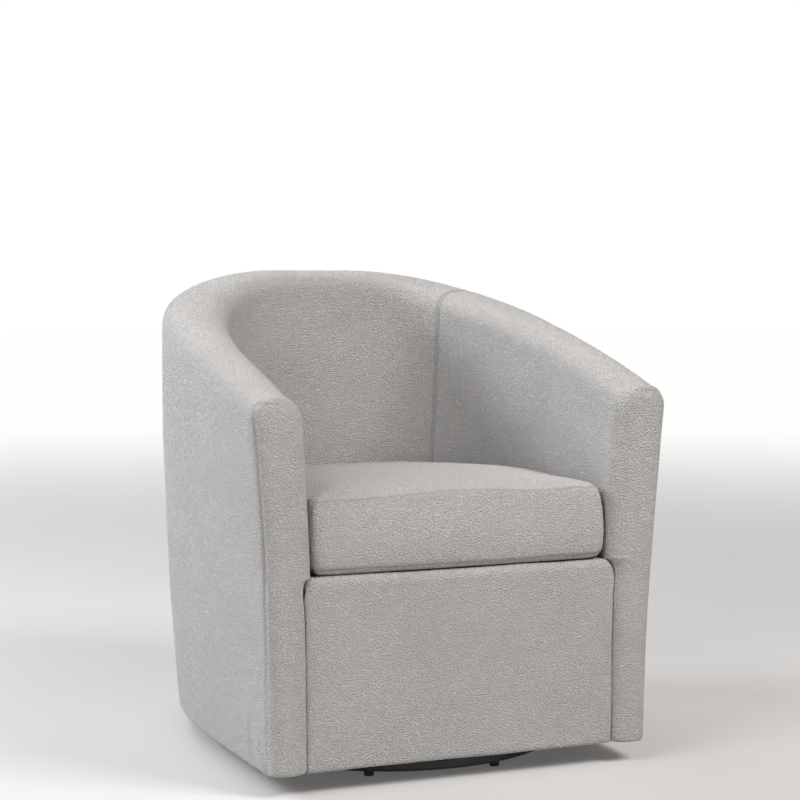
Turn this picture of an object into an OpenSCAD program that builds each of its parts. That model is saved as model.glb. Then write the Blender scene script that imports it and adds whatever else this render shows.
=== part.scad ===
// Swivel accent chair: an upholstered barrel chair with one loose seat cushion. It turns on a
// ball-bearing swivel plate over a black steel ring base. Millimetres, +Z up, the front faces -Y.
// The origin is on the floor, under the middle of the chair's outer box. "Left" is the -X side.

/* [Overall] */
// Height of the rim at the middle of the back
back_h = 790; // [740:1:840]
// Height of the rim at the arm tips
arm_h = 619; // [590:1:650]
// Depth from the arm fronts to the outside of the back
chair_d = 804; // [770:1:850]
// Height of the upholstery's lower edge above the floor
hem_z = 34; // [32:1:45]

/* [Barrel wall] */
// Width at the widest place, just under the rim
rim_w = 722; // [700:1:750]
// Width at the hem, in line with the widest place
hem_w = 658; // [640:1:690]
// Height at which the barrel is widest
widest_z = 650; // [600:1:700]
// Front-to-back place of the widest part
wide_y = -125; // [-150:1:-90]
// How much wider the barrel is across the arm fronts at the hem than at its widest place
tip_hem_flare = -3; // [-12:1:12]
// How much wider the barrel is across the arm fronts at arm height than at its widest place
tip_rim_flare = 2; // [-12:1:16]
// Exponent of the outward sweep of the arm fronts
tip_sweep = 1.8; // [1.4:0.1:2.4]
// How far the outside of the back draws in from the hem to the rim
back_lean = 20; // [0:1:40]
// How far the arm fronts lean ahead at the top
front_lean = 5.5; // [0:0.5:12]
// How far an arm front swells ahead of its corners
front_round = 29; // [22:1:36]
// Exponent of the barrel's plan curve, where 2 is an ellipse
barrel_power = 2.54; // [2.2:0.02:3]
// Radius of the rolled rim
rim_r = 41; // [36:0.5:42]
// Rise of the rim's slope above a straight line
crest_swell = 6; // [0:0.5:12]
// Thickness of the arm wall at the seat deck
arm_t_deck = 84; // [84:1:92]
// Thickness of the arm wall at the rim
arm_t_rim = 92; // [88:1:100]
// Thickness of the back wall at the seat deck
back_t_deck = 160; // [140:1:175]
// Thickness of the back wall at the rim
back_t_rim = 130; // [115:1:145]
// Plan angle of the two seams between the inside back and the inside arms
seam_turn = 50.4; // [44:0.2:58]

/* [Upholstery layers] */
// Thickness of the looped cover fabric
cover_t = 2.5; // [1.5:0.1:3.5]
// Width of cover that turns under the frame at the hem
hem_turn = 30; // [20:1:40]
// Thickness of the wadding under the outside cover and the arm fronts
pad_t = 9; // [6:0.5:11]
// Thickness of the fibreboard skin on the outside of the frame
board_t = 3; // [2:0.5:4]
// Thickness of the woven lining behind the inside foam
lining_t = 3; // [2:0.5:4]
// Depth of the rim's foam roll below the start of its curve
roll_seat = 6; // [4:1:10]
// Clearance left between neighbouring layers
fit = 0.3; // [0.2:0.05:0.4]
// Clearance between the timber frame and the board and webbing on it
frame_play = 0.9; // [0.8:0.05:0.95]
// Clearance between the rim's foam roll and the inside foams below it
roll_play = 0.9; // [0.6:0.1:0.9]

/* [Frame] */
// Thickness of the plywood hoops
hoop_t = 18; // [15:1:22]
// Depth of the frame's inner face below the outside surface
timber_in = 44; // [40:1:46]
// Width of the bottom hoop
bottom_hoop_w = 45; // [36:1:50]
// Depth of the seat hoop's inner edge below the outside surface
seat_hoop_in = 76; // [68:1:80]
// Drop from the start of the rim's curve to the top hoop
top_hoop_drop = 9; // [8:1:16]
// Thickness of the solid timber rails
rail_t = 22; // [18:1:28]
// Height of the front seat rail
front_rail_h = 96; // [80:1:120]
// Height of the rear seat rail
rear_rail_h = 60; // [45:1:80]
// Distance from the outside of the back forward to the rear seat rail's front face
rear_rail_setback = 252; // [236:1:280]
// Height of the bottom front rail
low_rail_h = 60; // [50:1:80]
// Length of a post along the wall
post_w = 42; // [32:1:48]
// Length of an arm post behind the wall's front corner
arm_post_back = 36; // [28:1:44]
// Length of an arm post ahead of the wall's front corner
arm_post_ahead = 8; // [4:0.5:9]
// Length of a corner block's short side
block_side = 55; // [40:1:70]
// Height of a corner block
block_h = 60; // [40:1:80]
// Width of one webbing strap
strap_w = 50; // [40:1:60]
// Thickness of one webbing strap
strap_t = 1.8; // [1.2:0.1:2.2]
// Height of the lowest strap's centre above the seat deck
strap_low = 45; // [40:1:60]
// Spacing of the straps
strap_pitch = 62; // [56:1:64]
// Number of straps
strap_count = 3; // [2:1:3]

/* [Seat deck] */
// Height of the seat deck, on which the cushion lies
deck_z = 337; // [325:1:350]
// Thickness of the deck cloth
deck_cloth_t = 1.2; // [0.8:0.1:2]
// Thickness of the felt pad over the springs
deck_pad_t = 9.5; // [6:0.5:12]
// Width of one arm front at the hem, beside the front border
arm_front_w = 67; // [66:0.5:74]
// How much wider the front border is at its top than at the hem
border_flare = 7; // [0:0.5:8]
// Distance from the arm fronts back to the face of the front border at its ends
border_setback = 16.4; // [14:0.2:22]
// Forward bow of the front border at its middle
border_bow = 2.7; // [0:0.1:5]
// Radius of the front border's top edge
border_r = 15; // [12:1:20]
// Depth of the front border's top lip
border_lip = 52; // [46:1:60]
// Drop of the front border's top edge at its two corners
border_end_drop = 9; // [4:0.5:11]
// How far the front border's corners draw back
border_end_back = 3; // [1:0.5:4]

/* [Seat springs] */
// Number of sinuous springs
spring_count = 4; // [3:1:4]
// Distance between neighbouring springs
spring_pitch = 96; // [84:1:100]
// Diameter of the spring wire
wire_d = 3.8; // [3:0.1:4.2]
// Width of a spring over its bends' centres
spring_w = 46; // [40:1:52]
// Number of bends in a spring
bend_count = 21; // [19:2:23]
// Thickness of a spring clip
clip_t = 1; // [0.8:0.1:1.2]
// Width of a spring clip
clip_w = 24; // [18:1:30]
// How far a spring clip reaches past the wire on each side
clip_reach = 3; // [2:0.5:4]

/* [Base] */
// Front-to-back place of the swivel's axis
axis_y = -57; // [-75:1:-40]
// Outer diameter of the ring
ring_d = 584; // [540:2:600]
// Width of the ring's section
ring_w = 28; // [22:1:34]
// Height of the ring's section
ring_h = 18; // [14:1:20]
// Rounding of the ring's section
ring_edge = 3; // [2:0.5:5]
// Width of the cross bars
bar_w = 40; // [30:1:48]
// Thickness of the cross bars
bar_t = 6; // [5:0.5:8]
// Number of glides under the ring
glide_count = 8; // [6:1:10]
// Turn of the first glide from the front
glide_turn = -27.7; // [-45:0.1:45]
// Diameter of a glide
glide_d = 16; // [12:1:20]
// Height of a glide
glide_h = 9; // [7:0.5:12]
// Diameter of a glide's pin
pin_d = 5; // [4:0.5:6]
// Length of a glide's pin inside the ring
pin_l = 11; // [8:1:12]

/* [Swivel] */
// Diameter of the two swivel plates
plate_d = 190; // [170:2:210]
// Thickness of each swivel plate
plate_t = 4; // [3.5:0.5:5]
// Gap between the two plates
plate_gap = 3; // [2.5:0.5:4]
// Radius of the ball race
race_r = 62; // [50:1:70]
// Diameter of a bearing ball
ball_d = 8; // [7:0.5:8]
// Running clearance of the balls
ball_play = 0.06; // [0.03:0.01:0.1]
// Number of bearing balls
ball_count = 18; // [12:1:24]
// Thickness of the ball cage
cage_t = 1.6; // [1.2:0.1:1.8]
// Width of the ball cage
cage_w = 18; // [14:1:22]
// Diameter of the king bolt's shank
king_d = 12; // [10:1:16]
// Running clearance of the king bolt, on the radius
king_play = 0.05; // [0.02:0.01:0.1]
// Diameter of the king bolt's head
king_head_d = 26; // [22:1:30]
// Height of the king bolt's head
king_head_h = 5; // [4:0.5:6]
// Thickness of the washer under the king bolt's nut
washer_t = 2; // [1.5:0.5:3]
// Height of the king bolt's nut
nut_h = 8; // [6:0.5:9]
// How far the king bolt stands above the upper plate
king_tail = 13; // [12:0.5:15]
// Radius of the circle of plate bolts
bolt_r = 80; // [76:1:84]
// Diameter of a plate bolt
bolt_d = 6; // [5:0.5:8]
// Diameter of a wood screw's shank
screw_d = 5; // [4:0.5:6]
// Length of a wood screw in the timber
screw_l = 30; // [24:1:32]
// Width of each slat that carries the swivel
slat_w = 90; // [76:1:96]
// Distance between the middles of the two slats
slat_pitch = 140; // [130:1:150]
// Distance from the barrel's side at the hem in to the ends of the slats
slat_inset = 45; // [40:1:52]
// Distance from a slat's end in to its screws
slat_screw_inset = 8; // [7:0.5:12]
// Side of the packing block between the slats and the upper plate
pack_side = 220; // [200:2:240]
// Hole in the packing block for the king bolt's nut
pack_hole = 44; // [38:1:60]

/* [Cushion] */
// Height of the cushion's crown above the floor
crown_z = 480; // [465:1:495]
// Height of the cushion's top seam
top_seam_z = 453; // [440:1:462]
// Height of the cushion's bottom seam
low_seam_z = 346; // [344:1:352]
// Clearance between the cushion's side and the arm
cushion_play = 4; // [3:0.5:8]
// Clearance between the cushion's back and the inside back
cushion_back_play = 9; // [8:0.5:12]
// Distance from the arm fronts back to the cushion's front
cushion_setback = 14; // [10:1:20]
// Forward bow of the cushion's front
cushion_bow = 4; // [0:0.5:8]
// Radius of the cushion's front corners
cushion_corner_r = 24; // [18:1:34]
// Share of the cushion's half-width by which the seams draw in
seam_draw = 0.022; // [0.01:0.002:0.03]
// Drop from the top seam to the foam core's flat top, on which the fibre wrap lies
wrap_drop = 4; // [2:0.5:8]

/* [Cushion zip] */
// Radius of the arc along which the cushion's back and its zip run
zip_arc_r = 420; // [380:5:480]
// Half of the zip's length, as an angle on that arc
zip_half = 13; // [10:0.5:14]
// Height of the zip tape
zip_tape_h = 24; // [18:1:30]
// Thickness of the zip tape
zip_tape_t = 0.8; // [0.5:0.1:1]
// Width of the zip's coil
zip_coil_w = 5; // [4:0.5:6]
// Thickness of the zip's coil
zip_coil_t = 1.4; // [1:0.1:1.6]
// Length of the zip slider
slider_l = 12; // [10:1:16]
// Wall of the zip slider
slider_wall = 1; // [0.8:0.1:1.2]

/* [Hidden] */
$fn = 64;

fabric_c = [0.70, 0.69, 0.68];
lining_c = [0.72, 0.62, 0.45];
foam_c = [0.93, 0.90, 0.72];
wadding_c = [0.95, 0.95, 0.95];
ply_c = [0.80, 0.66, 0.46];
timber_c = [0.86, 0.73, 0.52];
board_c = [0.52, 0.38, 0.25];
black_c = [0.05, 0.05, 0.05];
steel_c = [0.66, 0.67, 0.70];
cambric_c = [0.10, 0.10, 0.11];
tiny = 0.01;
seam_gap = 0.1;
hole_play = 0.02;
curve_share = 2 / barrel_power;

// Stations round the barrel: 0 is the middle of the back, 90 the widest place, 180 an arm front
arm_steps = 3;
corner_steps = 4;
back_steps = 5;
corner_turn = (90 - seam_turn) / corner_steps;
left_turns = concat([for (i = [0 : arm_steps - 1]) -180 + i * 90 / arm_steps],
                    [for (i = [0 : corner_steps]) -90 + i * corner_turn]);
back_turns = [for (i = [-back_steps : back_steps]) i * seam_turn / back_steps];
right_turns = [for (i = [len(left_turns) - 1 : -1 : 0]) -left_turns[i]];
back_inner = [for (i = [1 : len(back_turns) - 2]) back_turns[i]];
all_turns = concat(left_turns, back_inner, right_turns);

// The outside surface: its half-widths, its back and its front corners at a height
function mix(a, b, f) = a + (b - a) * f;
function share(v) = min(1, max(0, v));
function side(a) = a < 0 ? -1 : 1;
function rise(z) = (z - hem_z) / (back_h - hem_z);
function arm_rise(z) = max(0, (z - hem_z) / (arm_h - hem_z));
tip_hem_w = hem_w + tip_hem_flare;
tip_rim_w = rim_w + tip_rim_flare;
function wide_at(z) = mix(hem_w, rim_w, 1 - pow((widest_z - z) / (widest_z - hem_z), 2)) / 2;
function tip_at(z) = mix(tip_hem_w, tip_rim_w, pow(arm_rise(z), tip_sweep)) / 2;
function back_at(z) = chair_d / 2 - back_lean * pow(rise(z), 2);
function corner_at(z) = -chair_d / 2 + front_round + front_lean * (1 - arm_rise(z));

function plan_back(a, z) =
  [side(a) * wide_at(z) * pow(abs(sin(a)), curve_share),
   wide_y + (back_at(z) - wide_y) * pow(abs(cos(a)), curve_share)];
function plan_arm(a, z) = let (u = (abs(a) - 90) / 90)
  [side(a) * mix(wide_at(z), tip_at(z), u * u), mix(wide_y, corner_at(z), u)];
function plan(a, z) = abs(a) <= 90 ? plan_back(a, z) : plan_arm(a, z);

function unit(v) = v / norm(v);
function out_back(a) = let (q = 2 - curve_share)
  unit([side(a) * pow(abs(sin(a)), q) / wide_at(deck_z),
        pow(abs(cos(a)), q) / (back_at(deck_z) - wide_y)]);
function out_arm(a) = let (u = (abs(a) - 90) / 90)
  unit([side(a) * (wide_y - corner_at(deck_z)), -2 * u * (wide_at(deck_z) - tip_at(deck_z))]);
function outward(a) = abs(a) <= 90 ? out_back(a) : out_arm(a);

// A point of the wall at a station, at a depth below the outside surface and at a height
function wall(a, d, z) = let (p = plan(a, z), n = outward(a)) [p.x - n.x * d, p.y - n.y * d, z];

// Thickness of the wall, and the rim's height
function back_share(a) = abs(a) >= 90 ? 0 : pow(cos(a), curve_share);
function arm_t(z) = mix(arm_t_deck, arm_t_rim, share((z - deck_z) / (arm_h - deck_z)));
function back_t(z) = mix(back_t_deck, back_t_rim, share((z - deck_z) / (back_h - deck_z)));
function thick(a, z) = mix(arm_t(z), back_t(z), back_share(a));
slope_front = corner_at(arm_h);
slope_run = back_at(back_h) - slope_front;
rim_slope = (back_h - arm_h) / slope_run;
function crest(a) = let (w = share((plan(a, widest_z).y - slope_front) / slope_run))
  mix(arm_h, back_h, w) + crest_swell * 6.75 * w * (1 - w) * (1 - w);
function rim_base(a) = crest(a) - rim_r;

// Heights shared by the parts that stand on each other
hoop_low = hem_z + cover_t + fit;
hoop_top = hoop_low + hoop_t;
deck_top = deck_z - fit;
pad_low = deck_top - deck_cloth_t - fit - deck_pad_t;
seat_top = pad_low - fit - clip_t - seam_gap - wire_d - fit;
seat_low = seat_top - hoop_t;
wire_z = seat_top + fit + wire_d / 2;
in_low = seat_top + fit;
roll_low = roll_seat + roll_play;
ring_low = glide_h;
ring_top = ring_low + ring_h;
lower_top = ring_top + plate_t;
upper_low = lower_top + plate_gap;
upper_top = upper_low + plate_t;
ball_z = (lower_top + upper_low) / 2;

// Depths of the layers below the outside surface
wad_out = cover_t + fit;
wad_in = wad_out + pad_t;
board_out = wad_in + fit;
board_in = board_out + board_t;
timber_out = board_in + frame_play;
strap_out = timber_in + frame_play;
lining_out = strap_out + strap_t + frame_play;
lining_in = lining_out + lining_t;
foam_out = lining_in + fit;

function top_plane(y) = arm_h + rim_slope * (y - slope_front) - rim_r - top_hoop_drop;

// A solid through a row of rings. Each ring is an outer path followed by an inner path run back.
// Every four-sided face splits from its lower corner nearer the back to its upper one nearer the
// front, so neighbouring layers split alike and the left half mirrors the right.
function pair(a, b, c, d) = [[a, b, c], [a, c, d]];
function level_of(p) = p.z + tiny * norm([p.x, p.y]);
module loft(rings) {
  n = len(rings[0]);
  last = (len(rings) - 1) * n;
  sides = [for (i = [0 : len(rings) - 2], j = [0 : n - 1])
    let (k = (j + 1) % n, a = i * n + j, b = i * n + k,
         climbs = level_of(rings[i][k]) > level_of(rings[i][j]),
         left = rings[i][j].x + rings[i + 1][j].x < 0)
    each (climbs == left ? pair(b, a, a + n, b + n) : pair(a, a + n, b + n, b))];
  first_cap = [for (j = [0 : n / 2 - 2]) each pair(j, j + 1, n - 2 - j, n - 1 - j)];
  last_cap = [for (t = first_cap) [t[2] + last, t[1] + last, t[0] + last]];
  polyhedron(points = [for (r = rings) each r], faces = concat(sides, first_cap, last_cap));
}
function back_order(v) = [for (i = [len(v) - 1 : -1 : 0]) v[i]];
function ring_of(a, outer, inner) =
  [for (q = concat(outer, back_order(inner))) wall(a, q[0], q[1])];

// Paths over the wall at one station, as depth and height
wall_rows = [0, 0.2, 0.45, 0.72, 1];
rim_angles = [0, 30, 60, 90];
function out_rows(a, e, low, high) = [for (q = wall_rows) [e, mix(low, high, q)]];
function in_rows(a, e, low, high) =
  [for (q = back_order(wall_rows)) let (z = mix(low, high, q)) [thick(a, z) - e, z]];
function rim_out(a, e) = let (r = rim_r - e)
  [for (b = rim_angles) [e + r * (1 - cos(b)), rim_base(a) + r * sin(b)]];
function rim_in(a, e) = let (r = rim_r - e)
  [for (b = back_order(rim_angles)) let (z = rim_base(a) + r * sin(b))
    [thick(a, z) - e - r * (1 - cos(b)), z]];

module layer(turns, d0, d1, low, drop) {
  loft([for (a = turns) let (high = rim_base(a) - drop)
    ring_of(a, out_rows(a, d0, low, high), out_rows(a, d1, low, high))]);
}
module inside_layer(turns, d0, e1) {
  loft([for (a = turns) let (high = rim_base(a) - roll_low)
    ring_of(a, out_rows(a, d0, in_low, high), back_order(in_rows(a, e1, in_low, high)))]);
}

// A point part-way along the straight stretch between two stations, level or on the slope
last_k = len(all_turns) - 2;
function along(k, f, d, z) = mix(wall(all_turns[k], d, z), wall(all_turns[k + 1], d, z), f);
function sloped(k, f, d, drop) = let (z = top_plane(along(k, f, d, widest_z).y) - drop)
  along(k, f, d, z);
function stretch_l(k) = norm(wall(all_turns[k], timber_out, deck_z)
                             - wall(all_turns[k + 1], timber_out, deck_z));
function at_level(p, d, level) =
  level[0] == "flat" ? along(p[0], p[1], d, level[1]) : sloped(p[0], p[1], d, level[1]);
function between(p, d, low, high, f) =
  along(p[0], p[1], d, mix(at_level(p, d, low).z, at_level(p, d, high).z, f));
module beam(places, d0, d1, low, high, rows = [0, 1]) {
  loft([for (p = places) concat([for (f = rows) between(p, d0, low, high, f)],
                                [for (f = back_order(rows)) between(p, d1, low, high, f)])]);
}
arm_post_f = arm_post_back / stretch_l(last_k);
arm_post_lead = arm_post_ahead / stretch_l(last_k);
between_posts = concat([[0, arm_post_f + tiny]], [for (k = [1 : last_k]) [k, 0]],
                       [[last_k, 1 - arm_post_f - tiny]]);
tip_to_tip = concat([for (k = [0 : last_k]) [k, 0]], [[last_k, 1]]);
post_stretches = [2, 5, 9, 14, 18, 21];
function post_span(k) = let (f = post_w / 2 / stretch_l(k)) [[k, 0.5 - f], [k, 0.5 + f]];

// A sheet that closes over at its top: rows of points from the bottom up, outside and inside
module hood(outer, inner) {
  rows = len(outer);
  n = len(outer[0]);
  function o(k, j) = k * n + j;
  function i(k, j) = (rows + k) * n + j;
  outside = [for (k = [0 : rows - 2], j = [0 : n - 2])
    each pair(o(k, j), o(k, j + 1), o(k + 1, j + 1), o(k + 1, j))];
  inside = [for (k = [0 : rows - 2], j = [0 : n - 2])
    each pair(i(k, j), i(k + 1, j), i(k + 1, j + 1), i(k, j + 1))];
  foot = [for (j = [0 : n - 2]) each pair(o(0, j + 1), o(0, j), i(0, j), i(0, j + 1))];
  edges = [for (k = [0 : rows - 2]) each concat(
    pair(o(k, 0), o(k + 1, 0), i(k + 1, 0), i(k, 0)),
    pair(o(k + 1, n - 1), o(k, n - 1), i(k, n - 1), i(k + 1, n - 1)))];
  t = rows - 1;
  roof = concat(pair(o(t, 0), o(t, n - 1), i(t, n - 1), i(t, 0)),
                [for (j = [1 : n - 2]) [o(t, 0), o(t, j), o(t, j + 1)]],
                [for (j = [1 : n - 2]) [i(t, j + 1), i(t, j), i(t, 0)]]);
  polyhedron(points = concat([for (r = outer) each r], [for (r = inner) each r]),
             faces = concat(outside, inside, foot, edges, roof));
}

// The right arm front: it swells from the outer corner round to the inner corner
front_angles = [0, 14, 32, 60, 90, 120, 148, 166, 180];
front_curve = 0.77;
step_low = deck_z + 1;
step_high = deck_z + 11;
front_rows = [120, 220, step_low, step_high, 430, 510];
border_hem_w = tip_hem_w - 2 * arm_front_w;
border_top_w = border_hem_w + border_flare;
function border_hw(z) = mix(border_hem_w, border_top_w, share((z - hem_z) / (deck_z - hem_z))) / 2;
function low_front_t(z) = tip_at(z) - border_hw(z) - fit;
function front_t(z) = mix(low_front_t(z), arm_t(z), share((z - step_low) / (step_high - step_low)));
function front_row(e, z, cut, ease) =
  let (n = outward(180), ahead = [n.y, -n.x], half = front_t(z) / 2,
       mid = plan(180, z) - n * half + ahead * seam_gap,
       swell = front_round - n.y * half - ease - e - seam_gap)
  [for (t = front_angles)
    let (u = (half - cut - e) * (t > 90 ? -1 : 1) * pow(abs(cos(t)), front_curve),
         v = swell * pow(sin(t), front_curve), p = mid + n * u + ahead * v)
    [p.x, p.y, z]];
function front_sheet(e, low) = let (r = rim_r - e) concat(
  [front_row(e, low, 0, 0)],
  [for (z = front_rows) front_row(e, z, 0, 0)],
  [for (b = rim_angles) let (c = r * (1 - cos(b)))
    front_row(e, rim_base(180) + r * sin(b), c, c * front_round / (2 * rim_r))]);
module right_front(e0, e1, low0, low1) {
  hood(front_sheet(e0, low0), front_sheet(e1, low1));
}

// The front border: a path from the hem turn up the face and over the rail, as [y, z, lip]
border_y = -chair_d / 2 + border_setback;
notch_y = corner_at(deck_z) - 2 * fit;
lip_hw = wall(180, arm_t_deck + fit, in_low).x - fit;
border_shares = [1, 0.955, 0.66, 0.33, 0, -0.33, -0.66, -0.955, -1];
edge_r = min(border_r, notch_y - 2 * fit - border_y);
function border_arc(e, top) = let (r = edge_r - e)
  [for (b = [0, 30, 60, 90]) [border_y + edge_r - r * cos(b), top - edge_r + r * sin(b), 0]];
function border_lip_path(e, top) = [[notch_y - fit, top - e, 0], [notch_y, top - e, 1],
                                    [border_y + border_lip, top - e, 1]];
function border_path(e, low) = concat([[border_y + e, low, 0], [border_y + e, deck_z / 2, 0]],
                                      border_arc(e, deck_top), border_lip_path(e, deck_top));
function border_point(f, q, bow) =
  let (face = share((notch_y - q[0]) / (notch_y - border_y)), end = abs(f) == 1 ? 1 : 0,
       high = share((q[1] - deck_z + 3 * edge_r) / (3 * edge_r)),
       hw = q[2] == 1 ? lip_hw : border_hw(q[1]))
  [f * hw, q[0] - (bow * (1 - f * f) - border_end_back * end) * face,
   q[1] - end * high * border_end_drop * (1 - q[2])];

// The cushion's outline: its sides follow the arms, and its back is one arc for the zip
belly_z = (top_seam_z + low_seam_z) / 2;
cushion_y = -chair_d / 2 + cushion_setback;
back_inner_y = wall(0, thick(0, belly_z), belly_z).y;
zip_centre_y = back_inner_y - cushion_back_play - zip_arc_r;
arc_half = zip_half + 1.6;
cushion_hw = wall(180, thick(180, belly_z) + cushion_play, belly_z).x;
cushion_sides = concat([150, 120], [for (i = [0 : corner_steps]) 90 - i * corner_turn],
                       [seam_turn * (back_steps - 1) / back_steps]);
function cushion_side(a) =
  let (p = wall(a, thick(a, belly_z) + mix(cushion_play, cushion_back_play, back_share(a)),
                belly_z)) [p.x, p.y];
function cushion_arc(t) = [zip_arc_r * sin(t), zip_centre_y + zip_arc_r * cos(t)];
corner_x = cushion_hw - cushion_corner_r;
corner_y = cushion_y + cushion_corner_r;
function cushion_corner(t) = [corner_x + cushion_corner_r * cos(t),
                              corner_y - cushion_corner_r * sin(t)];
front_shares = [0.66, 0.33, 0, -0.33, -0.66];
right_side = [for (a = back_order(cushion_sides)) cushion_side(a)];
right_corner = [for (t = [0, 30, 60, 90]) cushion_corner(t)];
outline = concat(
  [for (p = back_order(right_side)) [-p.x, p.y]],
  [for (i = [-4 : 4]) cushion_arc(i * arc_half / 4)],
  right_side, right_corner,
  [for (f = front_shares) [f * corner_x, cushion_y - cushion_bow * (1 - f * f)]],
  [for (p = back_order(right_corner)) [-p.x, p.y]]);
cushion_mid = [0, (cushion_y + back_inner_y) / 2];
cushion_ref = cushion_hw + 30;

// The cushion's half-section from the crown out and round to the middle of the bottom
seam_in = 1 - seam_draw;
tape_half = zip_tape_h / 2 + 1;
crown_rise = crown_z - top_seam_z;
section = [[0, crown_z], [0.45, crown_z - 0.05 * crown_rise], [0.74, crown_z - 0.2 * crown_rise],
           [0.89, crown_z - 0.42 * crown_rise], [0.95, crown_z - 0.66 * crown_rise],
           [seam_in, top_seam_z],
           [1 - 0.3 * seam_draw, mix(top_seam_z, belly_z, 0.4)], [1, belly_z + tape_half],
           [1, belly_z - tape_half], [1 - 0.3 * seam_draw, mix(low_seam_z, belly_z, 0.4)],
           [seam_in, low_seam_z],
           [0.965, deck_z + 3], [0.93, deck_z], [0.5, deck_z], [0, deck_z]];
top_seam_i = 5;
low_seam_i = 10;
function inset(e) = [for (i = [0 : len(section) - 1])
  let (a = section[max(0, i - 1)], b = section[min(len(section) - 1, i + 1)],
       v = unit([(b[0] - a[0]) * cushion_ref, b[1] - a[1]]))
  [max(0, section[i][0] + v[1] * e / cushion_ref), section[i][1] - v[0] * e]];
function cut_list(v, a, b) = [for (i = [a : b]) v[i]];
function cushion_ring(q) = [for (p = outline) let (m = mix(cushion_mid, p, q[0])) [m.x, m.y, q[1]]];

// A closed form over the cushion's outline, whose section starts and ends on the middle
module filled(path) {
  n = len(outline);
  rings = [for (i = [1 : len(path) - 2]) cushion_ring(path[i])];
  last = len(rings) - 1;
  apex = n * len(rings);
  skin = [for (i = [0 : last - 1], j = [0 : n - 1]) let (a = i * n + j, b = i * n + (j + 1) % n)
    each pair(a, b, b + n, a + n)];
  lids = [for (j = [0 : n - 1]) let (k = (j + 1) % n)
    each [[apex, k, j], [apex + 1, last * n + j, last * n + k]]];
  polyhedron(points = concat([for (r = rings) each r],
                             [[cushion_mid.x, cushion_mid.y, path[0][1]],
                              [cushion_mid.x, cushion_mid.y, path[len(path) - 1][1]]]),
             faces = concat(skin, lids));
}
// A band round the cushion's outline, whose section is a closed loop
module banded(path) {
  n = len(outline);
  m = len(path);
  polyhedron(points = [for (q = path) each cushion_ring(q)],
             faces = [for (i = [0 : m - 1], j = [0 : n - 1])
               let (k = (i + 1) % m, a = i * n + j, b = i * n + (j + 1) % n,
                    c = k * n + j, d = k * n + (j + 1) % n) each pair(a, b, d, c)]);
}

// Swivel base
bar_low = ring_top - bar_t;
ring_in = ring_d / 2 - ring_w;
glide_r = ring_d / 2 - ring_w / 2;
bolt_hole_r = bolt_d / 2 + hole_play;
module at_axis() translate([0, axis_y, 0]) children();
module round_about(count, first, r) for (i = [0 : count - 1])
  rotate([0, 0, first + i * 360 / count]) translate([r, 0, 0]) children();
module column(r, low, high) translate([0, 0, low]) cylinder(r = r, h = high - low);
module sunk_screw(r, low, high, head) {
  column(r, low, high);
  translate([0, 0, head > 0 ? high - r : low])
    cylinder(r1 = head > 0 ? r : 2 * r, r2 = head > 0 ? 2 * r : r, h = r);
}
module base_ring() color(black_c) at_axis() difference() {
  rotate_extrude() translate([ring_in, ring_low]) polygon([
    [0, ring_edge], [ring_edge, 0], [ring_w - ring_edge, 0], [ring_w, ring_edge],
    [ring_w, ring_h - ring_edge], [ring_w - ring_edge, ring_h], [0, ring_h]]);
  round_about(glide_count, glide_turn - 90, glide_r)
    column(pin_d / 2 + hole_play, ring_low - 1, ring_low + pin_l + 0.3);
}
module bar_holes() {
  round_about(4, 0, bolt_r) column(bolt_hole_r, bar_low - 1, ring_top + 1);
  column(king_d / 2 + hole_play, bar_low - 1, ring_top + 1);
}
module bar_blank(x0, x1, y0, y1) difference() {
  intersection() {
    translate([x0, y0, bar_low]) cube([x1 - x0, y1 - y0, bar_t]);
    column(ring_in - seam_gap, bar_low - 1, ring_top + 1);
  }
  bar_holes();
}
module base_bar_long() color(black_c) at_axis()
  bar_blank(-bar_w / 2, bar_w / 2, -ring_in - 1, ring_in + 1);
module base_bar_right() color(black_c) at_axis()
  bar_blank(bar_w / 2, ring_in + 1, -bar_w / 2, bar_w / 2);
module base_bar_left() color(black_c) at_axis()
  bar_blank(-ring_in - 1, -bar_w / 2, -bar_w / 2, bar_w / 2);
module glide_pads() color(black_c) at_axis() round_about(glide_count, glide_turn - 90, glide_r)
  difference() {
    union() {
      cylinder(r1 = glide_d / 2 - 1, r2 = glide_d / 2, h = 1);
      column(glide_d / 2, 1, glide_h);
    }
    column(pin_d / 2 + hole_play, glide_h / 2, glide_h + 1);
  }
module glide_pins() color(steel_c) at_axis() round_about(glide_count, glide_turn - 90, glide_r)
  column(pin_d / 2, glide_h / 2 + 0.1, ring_low + pin_l);

// Swivel: two plates with a ball race between them, on the king bolt
module race_groove() rotate_extrude() translate([race_r, ball_z]) circle(r = ball_d / 2 + ball_play);
module swivel_lower_plate() color(steel_c) at_axis() difference() {
  column(plate_d / 2, ring_top, lower_top);
  race_groove();
  column(king_d / 2 + hole_play, ring_top - 1, lower_top + 1);
  round_about(4, 0, bolt_r) {
    column(bolt_hole_r, ring_top - 1, lower_top + 1);
    translate([0, 0, lower_top - bolt_d / 2])
      cylinder(r1 = bolt_hole_r, r2 = bolt_hole_r + bolt_d / 2 + hole_play, h = bolt_d / 2 + hole_play);
  }
  round_about(4, 45, bolt_r) column(1.4 * screw_d, ring_top - 1, lower_top + 1);
}
module swivel_plate_bolts() color(steel_c) at_axis() round_about(4, 0, bolt_r) {
  sunk_screw(bolt_d / 2, bar_low - bolt_d, lower_top, 1);
  translate([0, 0, bar_low - 0.8 * bolt_d]) cylinder(r = bolt_d, h = 0.8 * bolt_d, $fn = 6);
}
module king_bolt() color(steel_c) at_axis() {
  column(king_head_d / 2, bar_low - king_head_h, bar_low);
  column(king_d / 2, bar_low - 1, upper_top + king_tail);
}
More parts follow.
